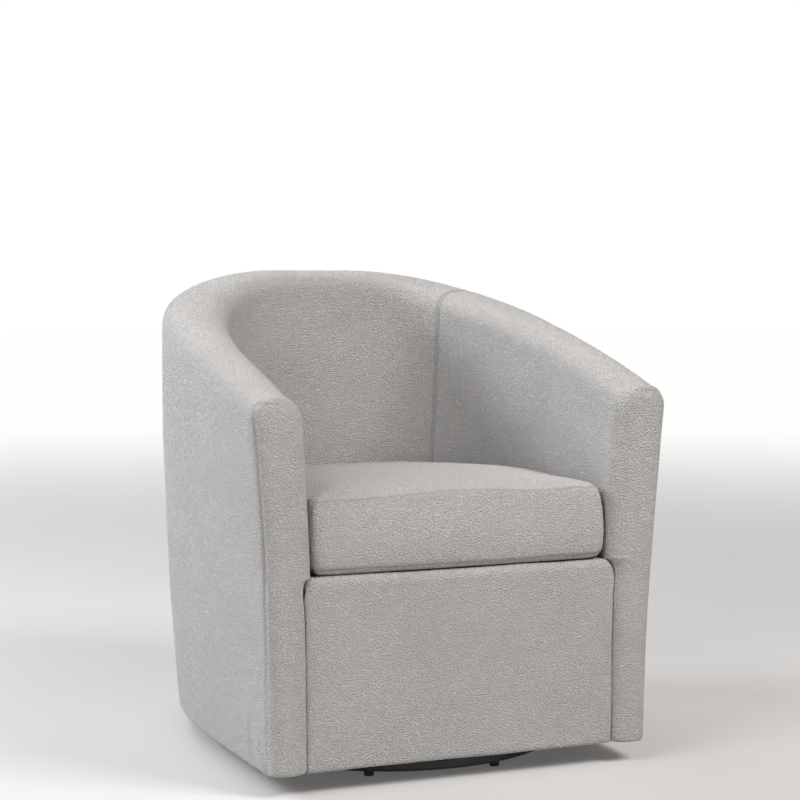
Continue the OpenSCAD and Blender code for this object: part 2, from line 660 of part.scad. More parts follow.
module king_washer() color(steel_c) at_axis() difference() {
  column(king_head_d / 2, upper_top + fit, upper_top + fit + washer_t);
  column(king_d / 2 + hole_play, upper_top, upper_top + washer_t + 1);
}
module king_nut() color(steel_c) at_axis() difference() {
  translate([0, 0, upper_top + fit + washer_t]) cylinder(r = 0.95 * king_d, h = nut_h, $fn = 6);
  column(king_d / 2 + hole_play, upper_top, upper_top + washer_t + nut_h + 2);
}
module ball_cage() color(steel_c) at_axis() difference() {
  column(race_r + cage_w / 2, ball_z - cage_t / 2, ball_z + cage_t / 2);
  column(race_r - cage_w / 2, ball_z - cage_t, ball_z + cage_t);
  round_about(ball_count, 0, race_r)
    column(ball_d / 2 + ball_play, ball_z - cage_t, ball_z + cage_t);
}
module bearing_balls() color(steel_c) at_axis() round_about(ball_count, 0, race_r)
  translate([0, 0, ball_z]) sphere(d = ball_d);
module swivel_upper_plate() color(steel_c) at_axis() difference() {
  column(plate_d / 2, upper_low, upper_top);
  race_groove();
  column(king_d / 2 + king_play, upper_low - 1, upper_top + 1);
  round_about(4, 45, bolt_r) {
    column(screw_d / 2 + hole_play, upper_low - 1, upper_top + 1);
    translate([0, 0, upper_low - hole_play])
      cylinder(r1 = screw_d + 2 * hole_play, r2 = screw_d / 2 + hole_play, h = screw_d / 2 + hole_play);
  }
}
module swivel_plate_screws() color(steel_c) at_axis() round_about(4, 45, bolt_r)
  sunk_screw(screw_d / 2, upper_low, upper_low + screw_l, -1);
module plate_screw_holes() at_axis() round_about(4, 45, bolt_r)
  column(screw_d / 2 + hole_play, upper_low, upper_low + screw_l + 0.5);
module packing_block() color(ply_c) difference() {
  at_axis() translate([-pack_side / 2, -pack_side / 2, upper_top])
    cube([pack_side, pack_side, hoop_top - upper_top]);
  at_axis() column(pack_hole / 2, upper_top - 1, hoop_top + 1);
  plate_screw_holes();
}
slat_reach = hem_w / 2 - slat_inset;
slat_screw_x = slat_reach - slat_screw_inset;
module slat_screw_places() for (sx = [-1, 1], sy = [-1, 1])
  translate([sx * slat_screw_x, axis_y + sy * slat_pitch / 2, 0]) children();
module swivel_slats() color(ply_c) difference() {
  for (sy = [-1, 1]) translate([-slat_reach, axis_y + sy * slat_pitch / 2 - slat_w / 2, hoop_top])
    cube([2 * slat_reach, slat_w, hoop_t]);
  plate_screw_holes();
  slat_screw_places() {
    column(screw_d / 2 + hole_play, hoop_top - 1, hoop_top + hoop_t + 1);
    translate([0, 0, hoop_top + hoop_t - screw_d / 2])
      cylinder(r1 = screw_d / 2 + hole_play, r2 = screw_d + 2 * hole_play, h = screw_d / 2 + hole_play);
  }
}
module slat_screws() color(steel_c) slat_screw_places()
  sunk_screw(screw_d / 2, hoop_top + hoop_t - screw_l, hoop_top + hoop_t, 1);

// Frame: three hoops, posts between them, arm posts and straight rails
module bottom_hoop() color(ply_c) difference() {
  beam(between_posts, timber_out, timber_out + bottom_hoop_w, ["flat", hoop_low],
       ["flat", hoop_top]);
  slat_screw_places() column(screw_d / 2 + hole_play, hoop_top + hoop_t - screw_l - 0.5, hoop_top + 1);
}
module seat_hoop() color(ply_c)
  beam(between_posts, timber_out, seat_hoop_in, ["flat", seat_low], ["flat", seat_top]);
module top_hoop() color(ply_c)
  beam(tip_to_tip, timber_out, timber_in, ["slope", hoop_t], ["slope", 0]);
module lower_posts() color(timber_c) for (k = post_stretches)
  beam(post_span(k), timber_out, timber_in, ["flat", hoop_top], ["flat", seat_low], wall_rows);
module upper_posts() color(timber_c) for (k = post_stretches)
  beam(post_span(k), timber_out, timber_in, ["flat", seat_top], ["slope", hoop_t + fit], wall_rows);
module arm_post_right() color(timber_c)
  beam([[last_k, 1 - arm_post_f], [last_k, 1 + arm_post_lead]], timber_out + fit, timber_in,
       ["flat", hoop_low], ["slope", hoop_t + fit], wall_rows);
module arm_post_left() mirror([1, 0, 0]) arm_post_right();
rail_y = wall(180, low_front_t(seat_top), hem_z).y + fit;
rear_rail_y = chair_d / 2 - rear_rail_setback;
function rail_half(z) = wall(180, timber_in, z).x - fit;
module front_seat_rail() color(timber_c) let (low = seat_top - front_rail_h, hw = rail_half(low))
  translate([-hw, rail_y, low]) cube([2 * hw, rail_t, front_rail_h]);
module bottom_front_rail() color(timber_c) let (hw = rail_half(hoop_low))
  translate([-hw, rail_y, hoop_low]) cube([2 * hw, rail_t, low_rail_h]);
module inside_plan(d, z) polygon([for (a = all_turns) let (p = wall(a, d, z)) [p.x, p.y]]);
module rear_seat_rail() color(timber_c) intersection() {
  translate([-rim_w / 2, rear_rail_y, seat_top - rear_rail_h]) cube([rim_w, rail_t, rear_rail_h]);
  translate([0, 0, seat_top - rear_rail_h - 1]) linear_extrude(rear_rail_h + 2)
    inside_plan(seat_hoop_in + fit, seat_low);
}
module block_pair(low) let (x = rail_half(low), y = rail_y + rail_t)
  for (m = [0, 1]) mirror([m, 0, 0]) translate([0, 0, low]) linear_extrude(block_h)
    polygon([[x, y], [x - block_side, y], [x, y + block_side]]);
module corner_blocks() color(timber_c) {
  block_pair(hoop_top + fit);
  block_pair(seat_low - fit - block_h);
}

// Sinuous springs: straight runs across and half-round bends at alternate ends
spring_y0 = rail_y + rail_t / 2;
bend_r = (rear_rail_y + rail_t / 2 - spring_y0) / (2 * bend_count);
wire_r = wire_d / 2;
function spring_x(i) = (i - (spring_count - 1) / 2) * spring_pitch;
module spring_bend(i) let (s = i % 2 == 0 ? 1 : -1)
  translate([s * spring_w / 2, (2 * i + 1) * bend_r]) difference() {
    circle(r = bend_r + wire_r, $fn = 32);
    circle(r = bend_r - wire_r, $fn = 32);
    translate([s > 0 ? -2 * bend_r : 0, -2 * bend_r]) square([2 * bend_r, 4 * bend_r]);
  }
module spring_run(i) translate([-spring_w / 2, 2 * i * bend_r - wire_r]) square([spring_w, wire_d]);
module seat_springs() color(steel_c) for (i = [0 : spring_count - 1])
  translate([spring_x(i), spring_y0, wire_z - wire_r]) linear_extrude(wire_d) {
    for (j = [0 : bend_count - 1]) spring_bend(j);
    for (j = [0 : bend_count]) spring_run(j);
  }
module spring_clips() color(steel_c) for (i = [0 : spring_count - 1], e = [0, bend_count])
  translate([spring_x(i), spring_y0 + 2 * e * bend_r, 0]) difference() {
    translate([-clip_w / 2, -wire_r - clip_reach, seat_top])
      cube([clip_w, wire_d + 2 * clip_reach, wire_z + wire_r + seam_gap + clip_t - seat_top]);
    translate([-clip_w, -wire_r - seam_gap, wire_z - wire_r - seam_gap])
      cube([2 * clip_w, wire_d + 2 * seam_gap, wire_d + 2 * seam_gap]);
  }

// Seat deck, webbing and linings
module deck_layer(low, high) intersection() {
  translate([0, 0, low]) linear_extrude(high - low)
    polygon([for (a = all_turns) let (p = wall(a, thick(a, pad_low) + fit, pad_low)) [p.x, p.y]]);
  translate([-rim_w, border_y + border_lip + fit, low - 1]) cube([2 * rim_w, chair_d, high - low + 2]);
}
module deck_pad() color(wadding_c) deck_layer(pad_low, pad_low + deck_pad_t);
module deck_cloth() color(cambric_c) deck_layer(deck_top - deck_cloth_t, deck_top);
module webbing_straps() color(lining_c) for (i = [0 : strap_count - 1])
  let (z = deck_z + strap_low + i * strap_pitch)
    beam(tip_to_tip, strap_out, strap_out + strap_t, ["flat", z - strap_w / 2],
         ["flat", z + strap_w / 2]);
module outside_board() color(board_c) layer(all_turns, board_out, board_in, hoop_low, roll_low);
module outside_wadding() color(wadding_c) layer(all_turns, wad_out, wad_in, hoop_low, roll_low);
module inside_lining() color(lining_c) layer(all_turns, lining_out, lining_in, in_low, roll_low);

// Foams
module rim_roll_foam() color(foam_c) loft([for (a = all_turns)
  let (over = concat(rim_out(a, wad_out), rim_in(a, wad_out)), z = rim_base(a) - roll_seat,
       n = len(over) - 1)
  ring_of(a, over, [for (i = [0 : n]) [mix(wad_out, thick(a, z) - wad_out, i / n), z]])]);
module inside_back_foam() color(foam_c) inside_layer(back_turns, foam_out, wad_out);
module inside_arm_foam_left() color(foam_c) inside_layer(left_turns, foam_out, wad_out);
module inside_arm_foam_right() color(foam_c) inside_layer(right_turns, foam_out, wad_out);
module arm_front_pad_right() color(foam_c) right_front(wad_out, wad_in, hoop_low, hoop_low);
module arm_front_pad_left() mirror([1, 0, 0]) arm_front_pad_right();
foam_notch_y = notch_y - 2 * fit;
foam_back = concat([[rail_y - fit, hoop_low, 0], [rail_y - fit, seat_top, 0]],
                   [for (f = [0, 0.25, 0.5, 0.75, 1]) [foam_notch_y, mix(seat_top, pad_low, f), 0]],
                   [[notch_y, pad_low, 1], [border_y + border_lip, pad_low, 1]]);
module front_border_foam() color(foam_c) loft([for (f = border_shares)
  concat([for (q = border_path(wad_out, hoop_low)) border_point(f, q, border_bow)],
         back_order([for (q = foam_back) border_point(f, q, 0)]))]);

// Covers
function outside_path(a, e, low) = concat([[hem_turn, low]], out_rows(a, e, low, rim_base(a)));
module outside_cover() color(fabric_c) loft([for (a = all_turns)
  ring_of(a, outside_path(a, 0, hem_z), outside_path(a, cover_t, hem_z + cover_t))]);
function inside_path(a, e) = let (down = in_rows(a, e, in_low, rim_base(a)))
  concat(rim_out(a, e), rim_in(a, e), [for (i = [1 : len(down) - 1]) down[i]]);
module inside_cover(turns) color(fabric_c)
  loft([for (a = turns) ring_of(a, inside_path(a, 0), inside_path(a, cover_t))]);
module inside_back_cover() inside_cover(back_turns);
module inside_arm_cover_left() inside_cover(left_turns);
module inside_arm_cover_right() inside_cover(right_turns);
module arm_front_cover_right() color(fabric_c) right_front(0, cover_t, hem_z, hem_z);
module arm_front_cover_left() mirror([1, 0, 0]) arm_front_cover_right();
module front_border_cover() color(fabric_c) loft([for (f = border_shares)
  let (hem = [for (e = [0, cover_t]) [border_y + hem_turn, hem_z + e, 0]])
  concat([border_point(f, hem[0], 0)],
         [for (q = border_path(0, hem_z)) border_point(f, q, border_bow)],
         back_order([for (q = border_path(cover_t, hem_z + cover_t)) border_point(f, q, border_bow)]),
         [border_point(f, hem[1], 0)])]);
module dust_cover() color(cambric_c) difference() {
  intersection() {
    translate([0, 0, hoop_low - fit - 0.8]) linear_extrude(0.8) inside_plan(hem_turn + fit, hem_z);
    translate([-rim_w, border_y + hem_turn + fit, 0]) cube([2 * rim_w, chair_d, hoop_low]);
  }
  at_axis() column(plate_d / 2 + 3, 0, hoop_low);
}

// Cushion
core_top = top_seam_z - wrap_drop;
module cushion_core() color(foam_c) let (p = inset(cover_t + fit))
  filled(concat([[0, core_top], [p[top_seam_i][0], core_top]],
                cut_list(p, top_seam_i + 1, len(p) - 1)));
module cushion_wrap() color(wadding_c) let (p = inset(cover_t + fit))
  filled(concat(cut_list(p, 0, top_seam_i), [[p[top_seam_i][0], core_top + fit], [0, core_top + fit]]));
module cushion_top() color(fabric_c)
  filled(concat(cut_list(section, 0, top_seam_i), back_order(cut_list(inset(cover_t), 0, top_seam_i))));
module cushion_boxing() color(fabric_c)
  banded(concat(cut_list(section, top_seam_i, low_seam_i),
                back_order(cut_list(inset(cover_t), top_seam_i, low_seam_i))));
module cushion_bottom() color(fabric_c) let (n = len(section) - 1)
  filled(concat(back_order(cut_list(inset(cover_t), low_seam_i, n)), cut_list(section, low_seam_i, n)));

// Zip along the back of the boxing, and its slider
tape_r = zip_arc_r + fit;
coil_r = tape_r + zip_tape_t;
module zip_band(r0, r1, h, from, to) translate([0, zip_centre_y, belly_z - h / 2])
  rotate([0, 0, 90 + from]) rotate_extrude(angle = to - from, $fn = 360)
    translate([r0, 0]) square([r1 - r0, h]);
module cushion_zip() color(cambric_c) {
  zip_band(tape_r, coil_r, zip_tape_h, -zip_half, zip_half);
  zip_band(coil_r, coil_r + zip_coil_t, zip_coil_w, -zip_half, zip_half);
}
slider_turn = slider_l / zip_arc_r * 180 / PI;
slider_from = -zip_half + 0.2;
slider_to = slider_from + slider_turn;
slider_r = coil_r + zip_coil_t + fit;
slider_h = zip_coil_w + 2 * (fit + slider_wall);
module zip_slider() color(steel_c) {
  difference() {
    zip_band(coil_r + fit, slider_r + slider_wall, slider_h, slider_from, slider_to);
    zip_band(coil_r, slider_r, zip_coil_w + 2 * fit, slider_from - 1, slider_to + 1);
  }
  translate([0, 0, -slider_h]) zip_band(slider_r + slider_wall / 2, slider_r + slider_wall + 1,
                                        3 * slider_h, slider_from + 0.3, slider_to - 0.3);
}

base_ring();
base_bar_long();
base_bar_left();
base_bar_right();
glide_pads();
glide_pins();
swivel_lower_plate();
swivel_plate_bolts();
king_bolt();
king_washer();
king_nut();
ball_cage();
bearing_balls();
swivel_upper_plate();
swivel_plate_screws();
packing_block();
swivel_slats();
slat_screws();
bottom_hoop();
seat_hoop();
top_hoop();
lower_posts();
upper_posts();
arm_post_left();
arm_post_right();
front_seat_rail();
rear_seat_rail();
bottom_front_rail();
corner_blocks();
seat_springs();
spring_clips();
deck_pad();
deck_cloth();
webbing_straps();
outside_board();
outside_wadding();
inside_lining();
rim_roll_foam();
inside_back_foam();
inside_arm_foam_left();
inside_arm_foam_right();
arm_front_pad_left();
arm_front_pad_right();
outside_cover();
inside_back_cover();
inside_arm_cover_left();
inside_arm_cover_right();
arm_front_cover_left();
arm_front_cover_right();
front_border_foam();
front_border_cover();
dust_cover();
cushion_core();
cushion_wrap();
cushion_top();
cushion_boxing();
cushion_bottom();
cushion_zip();
zip_slider();
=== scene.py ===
# Swivel accent chair: an upholstered barrel chair with one loose cushion, on a black steel ring
# base that turns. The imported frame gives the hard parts; every soft part is made here round them.
# Shapes are worked out in millimetres, as a maker would, and go into the meshes in metres.
import math

import bmesh
import bpy
import numpy as np
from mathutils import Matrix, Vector, noise


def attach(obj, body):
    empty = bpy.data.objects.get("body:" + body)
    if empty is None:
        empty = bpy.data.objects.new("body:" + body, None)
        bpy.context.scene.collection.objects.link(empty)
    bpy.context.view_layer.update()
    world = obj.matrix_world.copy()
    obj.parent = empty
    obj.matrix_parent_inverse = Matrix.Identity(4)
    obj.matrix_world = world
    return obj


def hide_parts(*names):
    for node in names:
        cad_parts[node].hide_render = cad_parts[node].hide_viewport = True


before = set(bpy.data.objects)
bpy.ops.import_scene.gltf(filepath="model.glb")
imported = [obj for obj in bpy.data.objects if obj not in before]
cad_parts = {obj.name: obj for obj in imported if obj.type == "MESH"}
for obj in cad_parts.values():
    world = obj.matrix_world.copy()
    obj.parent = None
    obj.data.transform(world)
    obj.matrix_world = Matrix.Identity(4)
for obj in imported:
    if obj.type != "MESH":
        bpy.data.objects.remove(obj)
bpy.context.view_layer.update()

scene = bpy.context.scene
scene.view_settings.view_transform = "Standard"

# --- Camera ---------------------------------------------------------------------------------
# It stands three and a half metres away, left of the front and just above the rim, with a long
# lens that looks a little down.
camera = bpy.data.objects.new("camera", bpy.data.cameras.new("camera"))
camera.data.lens = 100.2
camera.location = (-1.4340, -3.5442, 0.8876)
camera.rotation_euler = (math.radians(85.311), 0, math.radians(-22.742))
scene.collection.objects.link(camera)
scene.camera = camera


# --- Studio floor and light -----------------------------------------------------------------
# A plain pale floor that fades to white, and five soft lamps: three behind on the left, whose light
# comes over the back, one high in front on the right and one in front on the left. The camera sees
# the surround as white.
def new_finish(name, roughness, metallic=0.0, specular=0.5):
    """A material, its shader and its node tree."""
    finish = bpy.data.materials.new(name)
    finish.use_nodes = True
    shader = finish.node_tree.nodes["Principled BSDF"]
    shader.inputs["Roughness"].default_value = roughness
    shader.inputs["Metallic"].default_value = metallic
    shader.inputs["Specular IOR Level"].default_value = specular
    return finish, shader, finish.node_tree


def add_node(tree, kind, settings=None, **sockets):
    """A shader node, its sockets set by name or by number as _0; gives its first output."""
    made = tree.nodes.new("ShaderNode" + kind)
    for key, value in (settings or {}).items():
        setattr(made, key, value)
    for key, value in sockets.items():
        place = int(key[1:]) if key[1:].isdigit() else key.replace("_", " ")
        socket = made.inputs[place]
        if isinstance(value, bpy.types.NodeSocket):
            tree.links.new(value, socket)
        else:
            socket.default_value = value
    return made.outputs[0]


def colour_steps(tree, height, *steps):
    """A colour that goes through steps of (height, colour)."""
    made = tree.nodes.new("ShaderNodeValToRGB")
    ramp = made.color_ramp.elements
    ramp[0].position, ramp[-1].position = steps[0][0], steps[-1][0]
    ramp[0].color, ramp[-1].color = (*steps[0][1], 1), (*steps[-1][1], 1)
    for place, colour in steps[1:-1]:
        ramp.new(place).color = (*colour, 1)
    tree.links.new(height, made.inputs["Fac"])
    return made.outputs["Color"]


def coloured(tree, shader, height, *steps):
    tree.links.new(colour_steps(tree, height, *steps), shader.inputs["Base Color"])


def spot(tree, stretch=(1, 1, 1)):
    """Where a point is on the piece itself; a larger stretch packs a pattern closer."""
    where = tree.nodes.new("ShaderNodeTexCoord").outputs["Object"]
    return add_node(tree, "Mapping", Vector=where, Scale=stretch)


def raised(tree, shader, height, strength, distance):
    bump = add_node(tree, "Bump", Strength=strength, Distance=distance, Height=height)
    tree.links.new(bump, shader.inputs["Normal"])


def new_piece(name, bm, finish, body, replaced=(), fine=True):
    mesh = bpy.data.meshes.new(name)
    bm.to_mesh(mesh)
    bm.free()
    mesh.polygons.foreach_set("use_smooth", [fine] * len(mesh.polygons))
    mesh.materials.append(finish)
    piece = bpy.data.objects.new(name, mesh)
    scene.collection.objects.link(piece)
    if body:
        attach(piece, body)
    if replaced:
        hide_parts(*replaced)
    return piece


def shown_only(tree):
    """1 for what the camera, a gloss or a clear piece sees, and 0 for light on the object."""
    rays = tree.nodes.new("ShaderNodeLightPath")
    seen = add_node(tree, "Math", {"operation": "MAXIMUM"}, _0=rays.outputs["Is Camera Ray"],
                    _1=rays.outputs["Is Glossy Ray"])
    return add_node(tree, "Math", {"operation": "MAXIMUM"}, _0=seen,
                    _1=rays.outputs["Is Transmission Ray"])


floor_r = 14.0
fade_start, fade_end = 1.0, 6.0
floor_lift = 0.1
floor_paint, shader, tree = new_finish("floor_paint", 0.8, specular=0.1)
cloudy = add_node(tree, "TexNoise", Vector=spot(tree), Scale=1.3, Detail=3.0)
coloured(tree, shader, cloudy, (0.3, (0.66, 0.65, 0.64)), (0.7, (0.69, 0.68, 0.67)))
away = add_node(tree, "VectorMath", {"operation": "LENGTH"}, _0=spot(tree)).node.outputs["Value"]
away = add_node(tree, "MapRange", {"interpolation_type": "SMOOTHSTEP"}, Value=away,
                From_Min=fade_start, From_Max=fade_end)
away = add_node(tree, "MapRange", Value=away, To_Min=floor_lift, To_Max=1.0)
pale = add_node(tree, "Emission", Color=(1.0, 0.995, 0.985, 1), Strength=shown_only(tree))
lifted = add_node(tree, "MixShader", _0=away, _1=shader.outputs[0], _2=pale)
tree.links.new(lifted, tree.nodes["Material Output"].inputs["Surface"])
bm = bmesh.new()
bmesh.ops.create_circle(bm, cap_ends=True, segments=64, radius=floor_r)
new_piece("studio_floor", bm, floor_paint, None)

surround = bpy.data.worlds.new("surround")
surround.use_nodes = True
scene.world = surround
tree = surround.node_tree
tree.nodes.clear()
fill = add_node(tree, "Background", Color=(0.98, 0.985, 1.0, 1), Strength=0.1)
white = add_node(tree, "Background", Color=(1, 1, 1, 1), Strength=1.0)
both = add_node(tree, "MixShader", _0=shown_only(tree), _1=fill, _2=white)
tree.links.new(both, tree.nodes.new("ShaderNodeOutputWorld").inputs["Surface"])

cool, warm = (0.98, 0.985, 1.0), (1.0, 0.965, 0.94)
aim = Vector((0, 0, 0.4))
for name, place, size, watts, tint in (("back_left_lamp", (-2.8, 1.8, 2.3), 0.9, 52, cool),
                                       ("low_left_lamp", (-3.2, 1.3, 1.9), 0.9, 37, cool),
                                       ("high_back_lamp", (-0.8, 2.4, 3.2), 1.4, 32, cool),
                                       ("front_right_lamp", (1.6, -2.6, 3.2), 1.6, 122, warm),
                                       ("front_left_lamp", (-2.6, -1.5, 3.0), 2.2, 67, cool)):
    lamp = bpy.data.lights.new(name, "AREA")
    lamp.size, lamp.energy = size, watts
    lamp.color = tint
    holder = bpy.data.objects.new(name, lamp)
    holder.location = place
    holder.rotation_euler = (aim - holder.location).to_track_quat("-Z", "Y").to_euler()
    scene.collection.objects.link(holder)


# --- Ring base and cross bars ---------------------------------------------------------------
# A steel ring with a cross of flat bars welded into it, painted satin black. The paint has a
# faint orange peel, and floor dust lies on it in thin patches.
def dress(finish, *names):
    for name in names:
        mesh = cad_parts[name].data
        mesh.materials.clear()
        mesh.materials.append(finish)


black_paint, shader, tree = new_finish("black_paint", 0.42, specular=0.45)
dust = add_node(tree, "TexNoise", Vector=spot(tree), Scale=34.0, Detail=5.0, Roughness=0.62)
coloured(tree, shader, dust, (0.42, (0.010, 0.010, 0.011)), (0.78, (0.034, 0.033, 0.031)))
peel = add_node(tree, "TexNoise", Vector=spot(tree), Scale=900.0, Detail=2.0)
raised(tree, shader, peel, 0.25, 0.0003)
dress(black_paint, "base_ring", "base_bar_long", "base_bar_left", "base_bar_right")

# --- Glides and their pins ------------------------------------------------------------------
# Eight black plastic glides pressed into the ring on zinc pins. Their feet are scuffed pale by
# the floor.
glide_plastic, shader, tree = new_finish("glide_plastic", 0.5, specular=0.4)
height_up = add_node(tree, "SeparateXYZ", Vector=spot(tree)).node.outputs["Z"]
scuff = add_node(tree, "TexNoise", Vector=spot(tree, (1, 1, 0.3)), Scale=700.0, Detail=4.0)
worn = add_node(tree, "MapRange", Value=height_up, From_Min=0.0, From_Max=0.0022, To_Min=0.5,
                To_Max=0.0)
worn = add_node(tree, "Math", {"operation": "MULTIPLY"}, _0=worn, _1=scuff)
coloured(tree, shader, worn, (0.05, (0.012, 0.012, 0.012)), (0.4, (0.11, 0.105, 0.10)))
raised(tree, shader, scuff, 0.2, 0.0002)
dress(glide_plastic, "glide_pads")


# --- Swivel plates, bolts and bearing -------------------------------------------------------
# Two pressed steel plates with a ball race between them, held by the king bolt. Plates, bolts
# and screws are zinc plated with a cloudy sheen; the balls and their cage are polished.
def plated(name, dark, light, roughness, grain):
    finish, shader, tree = new_finish(name, roughness, metallic=1.0)
    cloud = add_node(tree, "TexNoise", Vector=spot(tree), Scale=grain, Detail=6.0, Roughness=0.6)
    coloured(tree, shader, cloud, (0.35, dark), (0.68, light))
    tree.links.new(add_node(tree, "MapRange", Value=cloud, To_Min=roughness - 0.1,
                            To_Max=roughness + 0.14), shader.inputs["Roughness"])
    scratches = add_node(tree, "TexNoise", Vector=spot(tree, (1, 14, 1)), Scale=4 * grain,
                         Detail=3.0)
    raised(tree, shader, scratches, 0.12, 0.0002)
    return finish


zinc = plated("zinc_plate", (0.42, 0.43, 0.44), (0.62, 0.62, 0.60), 0.38, 60.0)
dress(zinc, "glide_pins", "swivel_lower_plate", "swivel_plate_bolts", "king_bolt", "king_washer",
      "king_nut", "swivel_upper_plate", "swivel_plate_screws", "slat_screws")
polished = plated("polished_steel", (0.60, 0.60, 0.61), (0.72, 0.72, 0.72), 0.22, 120.0)
dress(polished, "ball_cage", "bearing_balls")


# --- Timber frame ---------------------------------------------------------------------------
# Plywood hoops, slats and packing block, whose sawn edges show their plies, and posts, rails and
# corner blocks of pale hardwood with the grain along their length.
def grained(name, dark, light, stretch, plies=0.0):
    finish, shader, tree = new_finish(name, 0.62, specular=0.3)
    where = spot(tree, stretch)
    figure = add_node(tree, "TexNoise", Vector=where, Scale=9.0, Detail=6.0, Roughness=0.6,
                      Distortion=1.2)
    pores = add_node(tree, "TexNoise", Vector=where, Scale=90.0, Detail=3.0)
    height = add_node(tree, "Mix", {"data_type": "FLOAT"}, _0=0.35, _2=figure, _3=pores)
    if plies:
        layers = add_node(tree, "TexWave", {"bands_direction": "Z"}, Vector=spot(tree), Scale=plies,
                          Distortion=0.4, Detail=2.0).node.outputs["Fac"]
        height = add_node(tree, "Mix", {"data_type": "FLOAT"}, _0=0.4, _2=height, _3=layers)
    middle = tuple((a + b) / 2 for a, b in zip(dark, light))
    coloured(tree, shader, height, (0.3, dark), (0.5, middle), (0.72, light))
    raised(tree, shader, height, 0.25, 0.0006)
    return finish


plywood = grained("plywood", (0.40, 0.25, 0.13), (0.66, 0.49, 0.30), (1, 6, 6), plies=95.0)
dress(plywood, "packing_block", "swivel_slats", "bottom_hoop", "seat_hoop", "top_hoop")
hardwood = (0.46, 0.31, 0.18), (0.70, 0.54, 0.36)
standing_timber = grained("standing_timber", *hardwood, (12, 12, 1))
dress(standing_timber, "lower_posts", "upper_posts", "arm_post_left", "arm_post_right",
      "corner_blocks")
lying_timber = grained("lying_timber", *hardwood, (1, 12, 12))
dress(lying_timber, "front_seat_rail", "rear_seat_rail", "bottom_front_rail")

# --- Seat springs ---------------------------------------------------------------------------
# Sinuous springs of tempered wire with a dark blue-grey scale run from the front rail to the
# rear one. Zinc clips hold their ends.
spring_steel = plated("spring_steel", (0.10, 0.105, 0.12), (0.20, 0.205, 0.22), 0.45, 90.0)
dress(spring_steel, "seat_springs")
dress(zinc, "spring_clips")

# --- The barrel's shape ---------------------------------------------------------------------
# Every cloth, foam and lining follows one curved wall. A station is a turn round it in degrees:
# 0 is the middle of the back, 90 the widest place and 180 an arm front. "Left" is the -X side.
MM = 0.001
hem_z, back_h, arm_h, chair_d = 34, 790, 619, 804
widest_z, wide_y, deck_z = 650, -125, 337
wide_hem_w, wide_w = 658, 722
tip_hem_w, tip_w = 655, 724
back_lean, front_lean = 20, 5.5
front_round, rim_r, seam_turn = 29, 41, 50.4
arm_t, arm_top_t = 84, 92
back_t, back_top_t = 160, 130
curve_share = 2 / 2.54
round_arm, round_back = 0.9, 0.72
crest_start_y, crest_run, crest_swell = -373, 755, 40.5
cover_t, fit = 2.5, 0.3
in_low = 320.5
border_y = -chair_d / 2 + 16.4
border_lip = 52


def mix(a, b, f):
    return a + (b - a) * f


def share(v):
    return np.clip(v, 0, 1)


def spans(z):
    """Half the width at the widest place and at the arm fronts, and where back and front stand."""
    rise = (z - hem_z) / (back_h - hem_z)
    arm_rise = np.maximum(0, (z - hem_z) / (arm_h - hem_z))
    wide = mix(wide_hem_w, wide_w, 1 - ((widest_z - z) / (widest_z - hem_z)) ** 2) / 2
    tip = mix(tip_hem_w, tip_w, arm_rise ** 1.8) / 2
    back = chair_d / 2 - back_lean * rise ** 2
    return wide, tip, back, -chair_d / 2 + front_round + front_lean * (1 - arm_rise)


def plan(turn, z):
    """The wall's outer face at a station and a height: two arcs that run on into straight arms."""
    turn, z = np.broadcast_arrays(np.asarray(turn, float), np.asarray(z, float))
    wide, tip, back, corner = spans(z)
    behind = np.radians(np.minimum(np.abs(turn), 90))
    ahead = np.maximum(np.abs(turn) - 90, 0) / 90
    x = wide * np.sin(behind) ** curve_share + (tip - wide) * ahead ** 2
    y = wide_y + (back - wide_y) * np.cos(behind) ** curve_share + (corner - wide_y) * ahead
    return np.where(turn < 0, -x, x), y


def outward(turn):
    """The level direction in which the wall faces at a station."""
    turn = np.asarray(turn, float)
    wide, tip, back, corner = spans(deck_z)
    behind = np.radians(np.minimum(np.abs(turn), 90))
    ahead = np.maximum(np.abs(turn) - 90, 0) / 90
    on_arm = np.abs(turn) > 90
    x = np.where(on_arm, wide_y - corner, np.sin(behind) ** (2 - curve_share) / wide)
    y = np.where(on_arm, -2 * ahead * (wide - tip),
                 np.cos(behind) ** (2 - curve_share) / (back - wide_y))
    size = np.hypot(x, y)
    return np.where(turn < 0, -x, x) / size, y / size


def wall(turn, depth, z):
    """Points at a depth into the wall from its outer face."""
    (x, y), (nx, ny) = plan(turn, z), outward(turn)
    return np.stack(np.broadcast_arrays(x - nx * depth, y - ny * depth, z), -1).astype(float)


def back_share(turn):
    """1 in the middle of the back, and 0 from the widest place on."""
    behind = np.radians(np.minimum(np.abs(turn), 90))
    return np.where(np.abs(turn) >= 90, 0, np.cos(behind) ** curve_share)


def thick(turn, z):
    arm = mix(arm_t, arm_top_t, share((z - deck_z) / (arm_h - deck_z)))
    back = mix(back_t, back_top_t, share((z - deck_z) / (back_h - deck_z)))
    return mix(arm, back, back_share(turn))


def crest(turn):
    """The rim's height, which climbs from the arm fronts to the back and swells on the way."""
    w = share((plan(turn, widest_z)[1] - crest_start_y) / crest_run)
    return mix(arm_h, back_h, w) + crest_swell * w * (1 - w) ** 2


def stations(first, last, gap, fine_gap):
    """Turns from first to last, a gap apart and closer near both ends."""
    end_reach = 18
    turns = np.linspace(first, last, 2001)
    x, y = plan(turns, deck_z)
    steps = np.hypot(np.diff(x), np.diff(y))
    along = np.concatenate([[0], np.cumsum(steps)])
    to_end = np.minimum(along, along[-1] - along)
    density = 1 / (gap - (gap - fine_gap) * np.exp(-(to_end / end_reach) ** 2))
    count = np.concatenate([[0], np.cumsum((density[1:] + density[:-1]) / 2 * steps)])
    return np.interp(np.linspace(0, count[-1], math.ceil(count[-1]) + 1), count, turns)


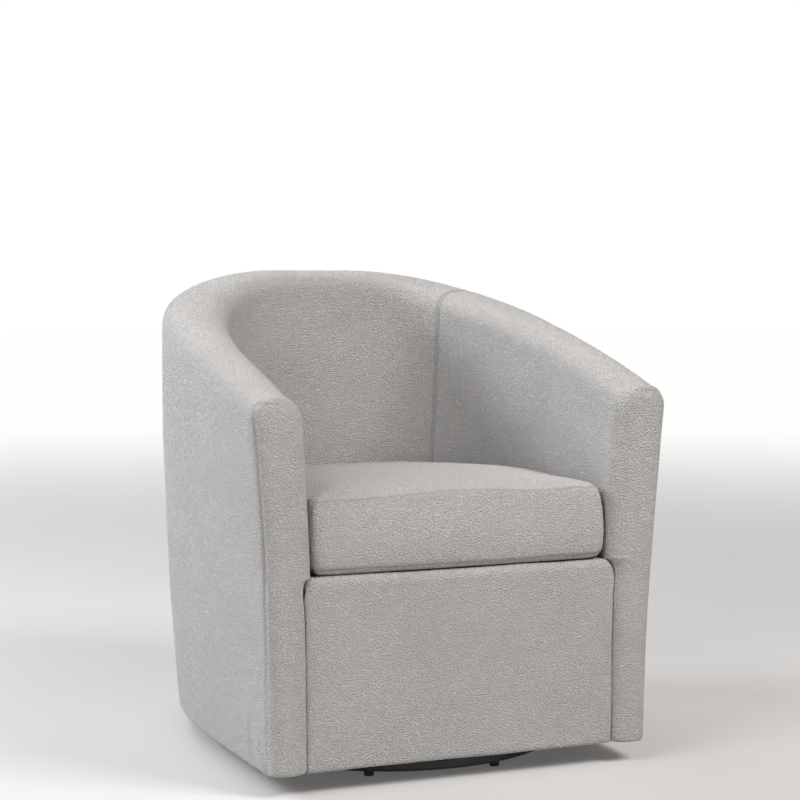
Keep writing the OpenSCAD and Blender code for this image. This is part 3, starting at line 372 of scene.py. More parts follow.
def round_wall(seam, gap, fine_gap):
    """Stations all round the wall, closer at the arm fronts and at a seam on each side."""
    ends = [-180, -seam, seam, 180]
    runs = [stations(first, last, gap, fine_gap)[:-1] for first, last in zip(ends, ends[1:])]
    return np.concatenate(runs + [[180]])


def lay_grid(bm, points):
    """Adds a sheet of faces through a grid of points, and gives each new vertex's place in it."""
    rows, columns = points.shape[:2]
    made = bmesh.ops.create_grid(bm, x_segments=columns - 1, y_segments=rows - 1, size=0.5)["verts"]
    spots = {}
    for v in made:
        i, j = round((v.co.x + 0.5) * (columns - 1)), round((v.co.y + 0.5) * (rows - 1))
        spots[v] = (i, j)
        v.co = points[j, i] * MM
    return spots


def face_out(bm, way):
    """Turns the faces outwards: the one furthest along a way has to look that way."""
    way = Vector(way)
    bmesh.ops.recalc_face_normals(bm, faces=bm.faces)
    if max(bm.faces, key=lambda f: f.calc_center_median().dot(way)).normal.dot(way) < 0:
        bmesh.ops.reverse_faces(bm, faces=bm.faces)


def spread_out(line, count):
    """A number of points evenly spaced along a line."""
    along = np.concatenate([[0], np.cumsum(np.linalg.norm(np.diff(line, axis=0), axis=1))])
    places = np.linspace(0, along[-1], count)
    return np.stack([np.interp(places, along, column) for column in line.T], -1)


def cut_across(ring, front):
    """A ring round the wall, cut straight across at the front and closed."""
    ring = ring[ring[:, 1] >= front]
    closed = [[[ring[0, 0], front, 0]], ring, [[ring[-1, 0], front, 0]], [[ring[0, 0], front, 0]]]
    return np.concatenate(closed)


def merge(bm, dist=1e-6):
    """Makes one point of those that lie within a distance, in metres."""
    bmesh.ops.remove_doubles(bm, verts=bm.verts, dist=dist)


def thicken(bm, thickness):
    """Gives a sheet its thickness, inwards from its outer face."""
    bmesh.ops.solidify(bm, geom=bm.faces[:], thickness=thickness * MM)


def cap(bm):
    """Closes the open ends of a form."""
    ends = bmesh.ops.holes_fill(bm, edges=[e for e in bm.edges if e.is_boundary])["faces"]
    bmesh.ops.triangulate(bm, faces=ends)
    bmesh.ops.recalc_face_normals(bm, faces=bm.faces)


def lofted(rings):
    """A closed solid through a row of rings of points, with its ends capped."""
    bm = bmesh.new()
    lay_grid(bm, np.concatenate([rings, rings[:, :1]], axis=1).transpose(1, 0, 2))
    merge(bm)
    cap(bm)
    return bm


def sheet_between(inner_ring, outer_ring, rows):
    """A flat cloth from an inner loop of points out to an outer one, closed round."""
    f = np.linspace(0, 1, rows)[:, None, None]
    points = inner_ring[None] + (outer_ring - inner_ring)[None] * f
    bm = bmesh.new()
    lay_grid(bm, np.concatenate([points, points[:, :1]], axis=1))
    merge(bm)
    face_out(bm, (0, 0, 1))
    return bm


all_turns = round_wall(seam_turn, 16, 9)
left_turns = all_turns[all_turns <= -seam_turn + 1e-6]
back_turns = all_turns[np.abs(all_turns) <= seam_turn + 1e-6]
right_turns = -left_turns[::-1]

# --- Deck pad and deck cloth ----------------------------------------------------------------
# A grey needled felt over the springs, and a tight black cloth over that, tacked round the seat
# hoop. The cushion lies on the cloth.
def fibrous(name, dark, light, scale, lift, roughness=0.95):
    """A mat of loose fibres, felted or pressed."""
    finish, shader, tree = new_finish(name, roughness, specular=0.12)
    tufts = add_node(tree, "TexNoise", Vector=spot(tree), Scale=scale, Detail=6.0, Roughness=0.7,
                     Distortion=0.8)
    coloured(tree, shader, tufts, (0.34, dark), (0.66, light))
    raised(tree, shader, tufts, 0.6, lift)
    return finish


def woven(name, dark, light, threads, lift):
    """A plain weave: two crossed sets of threads, over and under."""
    finish, shader, tree = new_finish(name, 0.9, specular=0.15)
    where = spot(tree)
    sets = [add_node(tree, "TexWave", {"bands_direction": way}, Vector=where, Scale=threads,
                     Distortion=0.25, Detail=1.0, Detail_Scale=2.0).node.outputs["Fac"]
            for way in ("X", "Y")]
    weave = add_node(tree, "Math", {"operation": "MULTIPLY"}, _0=sets[0], _1=sets[1])
    coloured(tree, shader, weave, (0.05, dark), (0.7, light))
    raised(tree, shader, weave, 0.5, lift)
    return finish


felt = fibrous("grey_felt", (0.20, 0.20, 0.21), (0.42, 0.42, 0.43), 420.0, 0.001)
black_cloth = woven("black_cloth", (0.006, 0.006, 0.007), (0.030, 0.030, 0.033), 260.0, 0.0004)
felt_t, deck_cloth_t = 9.5, 1.2
pad_low = deck_z - fit - deck_cloth_t - fit - felt_t
well_y = -60


def deck_outline(level, count=180):
    """The seat well's outline at the deck, cut straight behind the front border's lip."""
    turns = np.linspace(-180, 180, 720)
    ring = wall(turns, thick(turns, pad_low) + fit, pad_low)
    edge = spread_out(cut_across(ring, border_y + border_lip + fit)[:, :2], count + 1)[:-1]
    return np.column_stack([edge, np.full(count, float(level))])


def deck_sheet(level, thickness):
    """A flat sheet with its top at a level, laid out from the middle of the well to its outline."""
    hole_share, near_middle = 0.002, 0.02
    middle = np.array([0, well_y, level])
    edge = deck_outline(level)
    bm = sheet_between(mix(middle, edge, hole_share), edge, 30)
    centre = Vector(middle * MM)
    bmesh.ops.holes_fill(bm, edges=[e for e in bm.edges if e.is_boundary
                                    and (e.verts[0].co - centre).length < near_middle])
    face_out(bm, (0, 0, 1))
    thicken(bm, thickness)
    return bm


deck_pad = new_piece("deck_felt", deck_sheet(pad_low + felt_t, felt_t), felt, "seat",
                     ["deck_pad"])
deck_cloth = new_piece("deck_cover", deck_sheet(deck_z - fit, deck_cloth_t), black_cloth, "seat",
                       ["deck_cloth"])

# --- Webbing behind the inside padding ------------------------------------------------------
# Three bands of jute webbing go round the inside of the posts and stop the padding from sinking
# between them.
jute = woven("jute_webbing", (0.20, 0.13, 0.06), (0.52, 0.41, 0.24), 130.0, 0.0006)
strap_w, strap_t, strap_step = 50, 1.8, 62
low_strap_z = deck_z + 45
strap_out = 44.9
strap_in = strap_out + strap_t


def strap_rings(level):
    low, high = level - strap_w / 2, level + strap_w / 2
    corners = (strap_out, low), (strap_out, high), (strap_in, high), (strap_in, low)
    return np.stack([wall(all_turns, d, np.full_like(all_turns, z)) for d, z in corners], axis=1)


straps = bmesh.new()
for k in range(3):
    one = lofted(strap_rings(low_strap_z + strap_step * k))
    loose = bpy.data.meshes.new("strap")
    one.to_mesh(loose)
    one.free()
    straps.from_mesh(loose)
    bpy.data.meshes.remove(loose)
webbing = new_piece("webbing_bands", straps, jute, "seat", ["webbing_straps"],
                    fine=False)

# --- Fibreboard skin, wadding and lining ----------------------------------------------------
# A bent fibreboard skin closes the outside of the frame, under a layer of white polyester
# wadding. Inside, a woven lining carries the foam.
fibreboard = fibrous("fibreboard", (0.16, 0.095, 0.05), (0.30, 0.19, 0.11), 260.0, 0.0004, 0.8)
dress(fibreboard, "outside_board")
wadding_white = fibrous("white_wadding", (0.62, 0.62, 0.61), (0.84, 0.84, 0.83), 150.0, 0.003)
lining_cloth = woven("lining_cloth", (0.42, 0.33, 0.20), (0.66, 0.56, 0.38), 210.0, 0.0004)
wadding_t, lining_gap, lining_t = 9, 0.9, 3
wad_out = cover_t + fit
wad_in = wad_out + wadding_t
hoop_low = hem_z + cover_t + fit
lining_out = strap_in + lining_gap
lining_in = lining_out + lining_t


def layer_rings(turns, outer, inner, low):
    """Rings of a layer between two depths, from a level up to just below the rim's roll."""
    roll_gap = 6.9
    rings = []
    for turn in turns:
        z = np.linspace(low, crest(turn) - rim_r - roll_gap, 22)
        depth = inner(turn, z[::-1]) if callable(inner) else np.full(len(z), inner)
        rings.append(np.concatenate([wall(turn, outer + 0 * z, z), wall(turn, depth, z[::-1])]))
    return np.array(rings)


outside_pad = new_piece("outside_wadding_layer",
                        lofted(layer_rings(all_turns, wad_out + 0.6, wad_in, hoop_low)),
                        wadding_white, "seat", ["outside_wadding"])
lining = new_piece("lining_layer", lofted(layer_rings(all_turns, lining_out, lining_in, in_low)),
                   lining_cloth, "seat", ["inside_lining"])

# --- Foams of the barrel --------------------------------------------------------------------
# Blocks of cream polyurethane foam: the rim's roll, the inside back, the two inside arms and a
# pad on each arm front. Cut foam has fine open cells.
cream_foam, shader, tree = new_finish("cream_foam", 0.95, specular=0.1)
cells = add_node(tree, "TexVoronoi", {"feature": "F1"}, Vector=spot(tree), Scale=620.0)
shade = add_node(tree, "TexNoise", Vector=spot(tree), Scale=14.0, Detail=3.0)
cells = add_node(tree, "Mix", {"data_type": "FLOAT"}, _0=0.35, _2=cells, _3=shade)
coloured(tree, shader, cells, (0.15, (0.62, 0.52, 0.28)), (0.6, (0.82, 0.74, 0.50)))
raised(tree, shader, cells, 0.5, 0.0008)
foam_face = wad_out + 0.7


def signed_power(value, power):
    """A power that keeps the sign, which squares off a round section below 1."""
    return np.sign(value) * np.abs(value) ** power


def roll_rings(turns):
    """Rings of the rim's roll: a rounded top on a foot that stands on the foams below."""
    foot_drop = 6.0
    angles = np.radians(np.linspace(0, 180, 19))
    rings = []
    for turn in turns:
        base = crest(turn) - rim_r
        power = mix(round_arm, round_back, back_share(turn))
        z = base + (rim_r - foam_face) * np.sin(angles) ** power
        half = thick(turn, z) / 2 - foam_face
        depth = foam_face + half * (1 - signed_power(np.cos(angles), power))
        foot = np.linspace(thick(turn, base - foot_drop) - foam_face, foam_face, 6)
        rings.append(np.concatenate([wall(turn, depth, z),
                                     wall(turn, foot, np.full(6, base - foot_drop))]))
    return np.array(rings)


roll_foam = new_piece("rim_roll_pad", lofted(roll_rings(all_turns)), cream_foam, "seat",
                      ["rim_roll_foam"])
for name, node, turns in (("inside_back_pad", "inside_back_foam", back_turns),
                          ("inside_arm_left_pad", "inside_arm_foam_left", left_turns),
                          ("inside_arm_right_pad", "inside_arm_foam_right", right_turns)):
    rings = layer_rings(turns, lining_in + fit, lambda t, z: thick(t, z) - foam_face, in_low)
    new_piece(name, lofted(rings), cream_foam, "seat", [node])

# --- The barrel's cover ---------------------------------------------------------------------
# One looped fabric covers the barrel: an outside panel with a turned hem, an inside back, two
# inside arms that roll over the rim, and a swollen front on each arm. They are cut from one skin.
border_hem_half, border_top_half = 260.9, 264.4
border_swell, swell_z = 2.5, 312
corner_w, corner_h = 12, 15
front_power, swell_fade = 0.77, 82
cover_seam = seam_turn + 3.2


def border_half(z):
    """Half the border's width, which swells a little under its rounded top corners."""
    half = mix(border_hem_half, border_top_half, share((z - hem_z) / (deck_z - hem_z)))
    return half + border_swell * np.exp(-((z - swell_z) / 20) ** 2)


def rounded_off(z):
    """How far the border's top corners draw in at a height."""
    return corner_w * (1 - np.sqrt(1 - share((z - deck_z + corner_h) / corner_h) ** 2))


def front_width(z):
    """An arm front fills the room beside the border, and above it is as wide as the arm."""
    return np.minimum(spans(z)[1] - border_half(z) - fit + rounded_off(z), thick(180, z))


def arm_front(t, z, narrowed, inset):
    """A point of the right arm's front: t goes from 0 at the outer corner to 180 at the inner."""
    t = np.radians(np.asarray(t, float))
    z = np.asarray(z, float)
    nx, ny = outward(180)
    half = front_width(z) / 2
    x, y = plan(180, z)
    cut = half * (1 - narrowed)
    proud = np.maximum(0, front_round - ny * half - cut * front_round / swell_fade - inset)
    u = (half - cut - inset) * signed_power(np.cos(t), front_power)
    v = proud * np.abs(np.sin(t)) ** front_power
    return np.stack(np.broadcast_arrays(x - nx * half + nx * u + ny * v,
                                        y - ny * half + ny * u - nx * v, z), -1).astype(float)


def levels(low, *runs):
    """Rows from a first level up through runs of (next level, count of rows)."""
    rows = [[low]]
    for high, count in runs:
        rows.append(np.linspace(low, high, count)[1:])
        low = high
    return np.concatenate(rows)


# Levels of the skin's rows: the turned hem, the outside, the roll over the rim, the inside
hem_r = 6
turned_in = [27, 20, 13]
hem_bend = np.radians([0, 30, 60])
hem_inset = np.concatenate([turned_in, hem_r * (1 - np.sin(hem_bend))])
hem_level = np.concatenate([[hem_z] * len(turned_in), hem_z + hem_r * (1 - np.cos(hem_bend))])
wall_low = hem_z + hem_r
tip_base = arm_h - rim_r
cushion_low_z = 350
out_level = levels(wall_low, (in_low, 40), (cushion_low_z, 15), (tip_base, 33))
out_share = (out_level - wall_low) / (tip_base - wall_low)
in_share = ((out_level - in_low) / (tip_base - in_low))[39:][::-1]
roll_turn = np.radians(levels(0, (60, 17), (120, 9), (180, 17)))[1:]
roll_first = len(hem_inset) + len(out_share) - 1
seam_row = roll_first + 12


def skin_rows(turn):
    """Depth and height of every row at each station."""
    base = (crest(turn) - rim_r)[None]
    power = mix(round_arm, round_back, back_share(turn))[None]
    hem = hem_level[:, None] + 0 * base
    out = wall_low + (base - wall_low) * out_share[:, None]
    roll = base + rim_r * np.sin(roll_turn)[:, None].clip(0) ** power
    over = thick(turn[None], roll) / 2 * (1 - signed_power(np.cos(roll_turn)[:, None], power))
    down = (in_low + (base - in_low) * in_share[:, None])[1:]
    depth = np.concatenate([hem_inset[:, None] + 0 * base, 0 * out, over, thick(turn[None], down)])
    return depth, np.concatenate([hem, out, roll, down])


cover_turns = round_wall(cover_seam, 7, 1.6)
front_turns = levels(0, (40, 17), (140, 19), (180, 13))
PANELS = ["outside_cover", "inside_back_cover", "inside_arm_cover_left", "inside_arm_cover_right",
          "arm_front_cover_left", "arm_front_cover_right"]

skin = bmesh.new()
panel = skin.faces.layers.int.new("panel")
depth, level = skin_rows(cover_turns)
spots = lay_grid(skin, wall(cover_turns[None], depth, level))
for face in skin.faces:
    i = min(spots[v][0] for v in face.verts)
    j = min(spots[v][1] for v in face.verts)
    turn = (cover_turns[i] + cover_turns[i + 1]) / 2
    face[panel] = 0 if j < roll_first else 1 if abs(turn) < cover_seam else 2 if turn < 0 else 3
cap_turn = roll_turn[:20]
front_z = np.concatenate([hem_level, wall_low + (tip_base - wall_low) * out_share,
                          tip_base + rim_r * np.sin(cap_turn) ** round_arm])[:, None]
front_narrow = np.concatenate([np.ones(roll_first + 1),
                               np.abs(np.cos(cap_turn)) ** round_arm])[:, None]
front_inset = np.concatenate([hem_inset, np.zeros(len(front_z) - len(hem_inset))])[:, None]
for left in (True, False):
    points = arm_front(front_turns[None], front_z, front_narrow, front_inset)
    points[..., 0] *= -1 if left else 1
    spots = lay_grid(skin, points)
    for face in {f for v in spots for f in v.link_faces}:
        front = min(spots[v][1] for v in face.verts) < seam_row
        face[panel] = (4 if left else 5) if front else (2 if left else 3)
merge(skin, 5e-6)
bmesh.ops.dissolve_degenerate(skin, edges=skin.edges, dist=1e-6)
face_out(skin, (0, 1, 0))


def close_line(points, gap=1.2):
    """The same line with a point at about every gap along it."""
    length = np.cumsum(np.linalg.norm(np.diff(points, axis=0), axis=1))[-1]
    return spread_out(points, int(length / gap) + 2)


def pressed(points, line, depth, width):
    """How far a sewn line pulls the cloth in at each point; depth may change along the line."""
    depths = np.atleast_1d(depth)
    shift = np.zeros(len(points))
    low, high = line.min(0) - 4 * width, line.max(0) + 4 * width
    near = np.flatnonzero(((points > low) & (points < high)).all(1))
    for some in np.array_split(near, max(1, len(near) // 4000)):
        gap = ((points[some][:, None] - line[None]) ** 2).sum(2)
        at = gap.argmin(1) / max(1, len(line) - 1)
        deep = np.interp(at, np.linspace(0, 1, len(depths)), depths)
        shift[some] = -deep * np.exp(-gap.min(1) / width ** 2)
    return shift


def uneven(points, size, amount, seed):
    """A soft unevenness, as hand-stretched cloth over padding has."""
    return amount * np.array([noise.noise(Vector(p / size) + Vector((seed, 0, 0))) for p in points])


def push(bm, shift):
    """Moves every point along its normal, by millimetres."""
    for v, out in zip(bm.verts, shift):
        v.co += v.normal * out * MM


def keep_normals_and_seam_shade(bm, shade):
    """Stores each point's normal, for the shading after the cut, and how much painted seam shade
    darkens it.
    """
    bm.normal_update()
    cover_normal = bm.verts.layers.float_vector.new("cover_normal")
    sewn = bm.verts.layers.float.new("sewn")
    for v, dark in zip(bm.verts, shade):
        v[cover_normal] = v.normal
        v[sewn] = dark


# The sewn lines: down each arm front and over its top, and each side of the inside back
side_b = np.radians([6, 12, 18, 24])
side_z = np.concatenate([np.linspace(hem_z + 2, tip_base, 60),
                         tip_base + rim_r * np.sin(side_b) ** round_arm])
side_t = np.interp(side_z, [34, 150, 250, 350, 430, 590, 600], [6, 10, 19, 27, 30, 31, 26])
side_narrow = np.concatenate([np.ones(60), np.cos(side_b) ** round_arm])
over_t = np.array([22, 21, 24, 34, 50, 70, 90])
over_b = np.radians([30, 36, 41, 44, 46, 48, 49])
over_z = tip_base + rim_r * np.sin(over_b) ** round_arm
front_seam = close_line(np.concatenate([
    arm_front(side_t, side_z, side_narrow, 0),
    arm_front(over_t, over_z, np.cos(over_b) ** round_arm, 0)]))


def inner_line(turn):
    """A line from the rim's inner side down to the deck at one station."""
    first = roll_first + 17
    depth, level = skin_rows(np.array([turn]))
    return close_line(wall(turn, depth[first:, 0], level[first:, 0]))


stitch_gap = 0.53
stitch_rows = [inner_line(cover_seam - stitch_gap), inner_line(cover_seam + stitch_gap)]
soft_seam = inner_line(-cover_seam)
flip = np.array([-1, 1, 1])

skin.normal_update()
points = np.array([v.co for v in skin.verts]) / MM
shift = uneven(points, 150, 1.3, 3.1) + uneven(points, 46, 0.5, 8.7)
seam_depth = np.repeat([2.0, 2.1, 1.5, 2.0, 1.7, 0.8, 0.0], [6, 14, 6, 1, 1, 1, 1])
puff_w, puff_lift = 7.0, 1.3
for sign in (flip, np.ones(3)):
    line = front_seam * sign
    shift += pressed(points, line, seam_depth, 3.0)
    if sign[0] > 0:
        shift += pressed(points, line[-24:], 2.2, 2.2)
    beside = line + [-puff_w * sign[0], puff_w, 0]
    shift += pressed(points, beside, -puff_lift, puff_w) * (points[:, 2] > 300)
for row in stitch_rows:
    shift += pressed(points, row, 1.3, 1.7)
shift += pressed(points, soft_seam, 2.4, 4.5)
# Two folds stand up by the left arm front's hem, with a hollow ahead of each
for fold, lift, width in ((((-331, -302, 104), (-331, -299, 71), (-329, -308, 42)), 4.2, 6.5),
                          (((-330, -344, 79), (-330, -353, 58), (-329, -364, 41)), 4.4, 6.0)):
    fold = close_line(np.array(fold, float))
    shift += pressed(points, fold, -lift, width)
    shift += pressed(points, fold + [0, -12, 0], lift * 0.5, width * 0.8)
# Painted shade: how far the cloth's colour is darkened along each seam, for the shade in its groove
seam_shade = np.zeros(len(points))
for line, dark, width in ((front_seam * flip, 0.2, 1.5), (front_seam, 0.2, 1.5),
                          (stitch_rows[0], 0.5, 1.5), (stitch_rows[1], 0.5, 1.5),
                          (soft_seam, 0.2, 2.2)):
    seam_shade = np.maximum(seam_shade, -pressed(points, line, dark, width))
push(skin, shift)
keep_normals_and_seam_shade(skin, seam_shade)


def looped_fabric(name, dark, middle, light):
    """A nubby looped cloth: rows of short curled loops that wander about, with pits between them.
    Its seams are coloured darker, a painted shade for their grooves."""
    finish, shader, tree = new_finish(name, 0.96, specular=0.1)
    where = spot(tree, (1, 1, 1.4))
    drift = add_node(tree, "TexNoise", Vector=where, Scale=60.0, Detail=0.0).node.outputs["Color"]
    drift = add_node(tree, "VectorMath", {"operation": "SCALE"}, _0=drift, Scale=0.0035)
    bent = add_node(tree, "VectorMath", {"operation": "ADD"}, _0=where, _1=drift)
    loops = add_node(tree, "TexVoronoi", Vector=bent, Scale=335.0)
    loops = add_node(tree, "MapRange", {"interpolation_type": "SMOOTHSTEP"}, Value=loops,
                     From_Min=0.1, From_Max=0.8, To_Min=1.0, To_Max=0.0)
    fibre = add_node(tree, "TexNoise", Vector=where, Scale=900.0, Detail=1.0)
    height = add_node(tree, "Mix", {"data_type": "FLOAT"}, _0=0.10, _2=loops, _3=fibre)
    # Painted shade and light: the colour is dark in the pits between loops and light on the loop
    # tops
    colour = colour_steps(tree, height, (0.08, dark), (0.5, middle), (0.95, light))
    patches = add_node(tree, "TexNoise", Vector=where, Scale=7.0, Detail=3.0)
    patches = add_node(tree, "MapRange", Value=patches, From_Min=0.3, From_Max=0.7, To_Min=0.96,
                       To_Max=1.03)
    # Painted shade: the colour is darkened along the seams, down to about a third on the sewn line
    painted_seam_shade = tree.nodes.new("ShaderNodeAttribute")
    painted_seam_shade.attribute_name = "sewn"
    painted_seam_shade = add_node(tree, "MapRange", Value=painted_seam_shade.outputs["Fac"], To_Min=1.0,
                            To_Max=0.35)
    patches = add_node(tree, "Math", {"operation": "MULTIPLY"}, _0=patches, _1=painted_seam_shade)
    colour = add_node(tree, "VectorMath", {"operation": "SCALE"}, _0=colour, Scale=patches)
    tree.links.new(colour, shader.inputs["Base Color"])
    shader.inputs["Sheen Weight"].default_value = 0.12
    shader.inputs["Sheen Roughness"].default_value = 0.6
    raised(tree, shader, height, 1.0, 0.0025)
    return finish


boucle = looped_fabric("looped_fabric", (0.505, 0.49, 0.477), (0.62, 0.607, 0.594),
                       (0.695, 0.682, 0.67))
cloth_t = cover_t - 0.2


def cut_panel(name, source, number, body):
    """Cuts one panel out of a skin and gives it thickness; its shading runs on over the cut."""
    bm = source.copy()
    of_panel = bm.faces.layers.int["panel"]
    bmesh.ops.delete(bm, geom=[f for f in bm.faces if f[of_panel] != number], context="FACES")
    thicken(bm, cloth_t)
    bm.normal_update()
    piece = new_piece(name + "_cloth", bm, boucle, body, [name])
    mesh = piece.data
    stored = mesh.attributes["cover_normal"].data
    outer_side = 0.45
    normals = []
    for face in mesh.polygons:
        for corner in face.vertices:
            n = stored[corner].vector
            normals.append(n[:] if n.dot(face.normal) > outer_side else (0, 0, 0))
    mesh.normals_split_custom_set(normals)
    mesh.attributes.remove(mesh.attributes["cover_normal"])
    mesh.attributes.remove(mesh.attributes["panel"])
    return piece


for number, name in enumerate(PANELS):
    cut_panel(name, skin, number, "seat")

# Under each arm front's cover lies a pad of the same form
front_pad_t = 8.5
pad_cap = cap_turn[:16]
pad_level = levels(hoop_low, (in_low, 20), (cushion_low_z, 8), (tip_base, 16))
pad_z = np.concatenate([pad_level, tip_base + (rim_r - foam_face) * np.sin(pad_cap) ** round_arm])
pad_narrow = np.concatenate([np.ones(len(pad_level)), np.abs(np.cos(pad_cap)) ** round_arm])
for name, side in (("arm_front_pad_left", -1), ("arm_front_pad_right", 1)):
    pad = bmesh.new()
    points = arm_front(np.linspace(0, 180, 37)[None], pad_z[:, None], pad_narrow[:, None],
                       wad_out + 0.6)
    points[..., 0] *= side
    lay_grid(pad, points)
    merge(pad, 1e-5)
    face_out(pad, (0, -1, 0))
    thicken(pad, front_pad_t)
    new_piece(name + "_foam", pad, cream_foam, "seat", [name])

# --- Front border ---------------------------------------------------------------------------
# The band of fabric under the cushion, pulled over foam and the front rail, with a soft rounded
# top edge, turned in at its hem and tucked in beside the arm fronts.
notch_y = float(spans(deck_z)[3]) - 2 * fit
edge_r = min(15, notch_y - 2 * fit - border_y)
lip_half = float(wall(180, arm_t + fit, in_low)[0]) - fit
deck_top = deck_z - fit
bow_out, end_roll, tuck = 2.7, 3.5, 1.8
end_share = 0.955
border_pad_t = 8


def border_path(inset, low, turned):
    """Rows of the border: where each stands front to back, its height, and 1 on the lip."""
    bend = np.radians(np.linspace(0, 90, 10))
    face_z = np.linspace(low + (hem_r if turned else 0), deck_top - edge_r, 48)
    rows = [(border_y + inset, z, 0) for z in face_z]
    r = edge_r - inset
    rows += [(border_y + edge_r - r * math.cos(b), deck_top - edge_r + r * math.sin(b), 0)
             for b in bend[1:]]
    rows += [(notch_y - fit, deck_top - inset, 0), (notch_y, deck_top - inset, 1)]
    rows += [(y, deck_top - inset, 1) for y in np.linspace(notch_y, border_y + border_lip, 7)[1:]]
    if turned:
        hem = [(border_y + y, hem_z, 0) for y in (28, 21, 14)]
        hem += [(border_y + hem_r * (1 - math.sin(b)), hem_z + hem_r * (1 - math.cos(b)), 0)
                for b in hem_bend]
        rows = hem + rows
    return np.array(rows)


def border_points(inset, low, turned):
    """The border's grid: it bows forward in the middle, and its ends roll back and down."""
    y, z, on_lip = border_path(inset, low, turned)[:, None].transpose(2, 0, 1)
    ends = np.sin(np.linspace(0, math.pi / 2, 10))
    f = np.concatenate([-1 + (1 - ends[::-1]) * (1 - end_share),
                        np.linspace(-end_share, end_share, 81)[1:-1],
                        1 - (1 - ends) * (1 - end_share)])[None]
    face = share((notch_y - y) / (notch_y - border_y))
    end = 1 - np.sqrt(1 - share((np.abs(f) - end_share) / (1 - end_share)) ** 2)
    high = share((z - deck_z + 3 * edge_r) / (3 * edge_r))
    tucked = tuck * share((deck_z - corner_h - z) / 20) if turned else 0
    half = np.where(on_lip == 1, lip_half, border_half(z) + tucked - inset)
    return np.stack(np.broadcast_arrays(
        f * half, y - (bow_out * (1 - f ** 2) - end_roll * end) * face,
        z - end * high * corner_h * (1 - on_lip)), -1).astype(float)


border = bmesh.new()
lay_grid(border, border_points(0, hem_z, True))
face_out(border, (0, -1, 0))
border.normal_update()
points = np.array([v.co for v in border.verts]) / MM
push(border, uneven(points, 110, 1.5, 21.3) + uneven(points, 40, 0.5, 5.5))
thicken(border, cloth_t)
border_piece = new_piece("front_border_cloth", border, boucle, "seat",
                         ["front_border_cover"])

foam_block = bmesh.new()
lay_grid(foam_block, border_points(wad_out + 0.8, hoop_low, False))
face_out(foam_block, (0, -1, 0))
thicken(foam_block, border_pad_t)
new_piece("front_border_pad", foam_block, cream_foam, "seat",
                    ["front_border_foam"])

# --- Dust cover -----------------------------------------------------------------------------
# Thin black cloth tacked flat under the seat frame, inside the turned hem, with a round hole for
# the swivel.
swivel_y, hole_r = -57, 98
from_hem, dust_t = 30, 0.8
ring_count = 240
loop = cut_across(wall(np.linspace(-180, 180, 721), from_hem + fit, hem_z),
                  border_y + from_hem + fit)
angle = np.unwrap(np.arctan2(loop[:, 1] - swivel_y, loop[:, 0]))
order = np.argsort(angle)
spread = np.linspace(angle.min(), angle.max(), ring_count + 1)[:-1]
level = np.full(ring_count, hoop_low - fit)
edge_ring = np.stack([np.interp(spread, angle[order], loop[order, 0]),
                      np.interp(spread, angle[order], loop[order, 1]), level], -1)
hole_ring = np.stack([hole_r * np.cos(spread), swivel_y + hole_r * np.sin(spread), level], -1)
cambric = sheet_between(hole_ring, edge_ring, 14)
thicken(cambric, dust_t)
dust_sheet = new_piece("dust_cover_cloth", cambric, black_cloth, "seat",
                       ["dust_cover"])

# --- Seat cushion ---------------------------------------------------------------------------
# A loose box cushion: a foam core with a fibre wrap on its crown, in a cover of three panels
# sewn to each other along two edges. Its sides follow the arms, and its back is one arc.
crown_z, top_seam_z, low_seam_z = 480, 453, 346
seams = top_seam_z, low_seam_z
belly_z = (top_seam_z + low_seam_z) / 2
cushion_y = -chair_d / 2 + 14
back_inner_y = float(wall(0, thick(0, belly_z), belly_z)[1])
back_gap, back_r = 9, 420
zip_centre_y = back_inner_y - back_gap - back_r
cushion_half = float(wall(180, thick(180, belly_z) + 2.5, belly_z)[0])
corner_r = 15


def smooth_loop(points, count):
    """A closed curve through the points, evenly spaced."""
    n = len(points)
    fine = []
    for k in range(n):
        a, b, c, d = (points[(k + i) % n] for i in (-1, 0, 1, 2))
        for t in np.linspace(0, 1, 24, endpoint=False):
            fine.append(0.5 * (2 * b + (c - a) * t + (2 * a - 5 * b + 4 * c - d) * t * t
                               + (3 * b - a - 3 * c + d) * t ** 3))
    return spread_out(np.array(fine + fine[:1]), count + 1)[:-1]


side_turns = np.concatenate([[seam_turn * 0.8], np.linspace(seam_turn, 90, 5), [120, 150]])
side_in = thick(side_turns, belly_z) + mix(4, back_gap, back_share(side_turns))
side_xy = wall(side_turns, side_in, belly_z)[:, :2]
corner_bend = np.radians([0, 30, 60, 90])
corner_xy = np.stack([cushion_half - corner_r + corner_r * np.cos(corner_bend),
                      cushion_y + corner_r - corner_r * np.sin(corner_bend)], -1)
front_f = np.array([0.66, 0.33, 0, -0.33, -0.66])
front_xy = np.stack([front_f * (cushion_half - corner_r), cushion_y - 4 * (1 - front_f ** 2)], -1)
arc_t = np.radians(np.linspace(-14.6, 14.6, 9))
arc_xy = np.stack([back_r * np.sin(arc_t), zip_centre_y + back_r * np.cos(arc_t)], -1)
mirror_x = np.array([-1, 1])
outline = smooth_loop(np.concatenate([side_xy[::-1] * mirror_x, arc_xy, side_xy, corner_xy,
                                      front_xy, corner_xy[::-1] * mirror_x]), 300)
cushion_mid = np.array([0, (cushion_y + back_inner_y) / 2])

# Its section from the crown to the deck: share of the way out to the outline, and height
half_across = 285
section = np.array([
    [0.0, 480], [0.2, 479.8], [0.45, 478.7], [0.62, 476.5], [0.74, 474], [0.83, 470.5],
    [0.89, 467], [0.93, 463.5], [0.957, 459.5], [0.978, 453], [0.9885, 446], [0.9945, 436],
    [0.9985, 424], [1.0, 412], [1.0, 399.5], [1.0, 387], [0.9985, 375], [0.9945, 363],
    [0.9885, 353], [0.978, 346], [0.965, 340], [0.945, 337.6], [0.92, 337], [0.7, 337],
    [0.45, 337], [0.2, 337], [0.0, 337]])
row_reach = 290
steps = np.hypot(np.diff(section[:, 0]) * row_reach, np.diff(section[:, 1]))
along = np.concatenate([[0], np.cumsum(steps)])


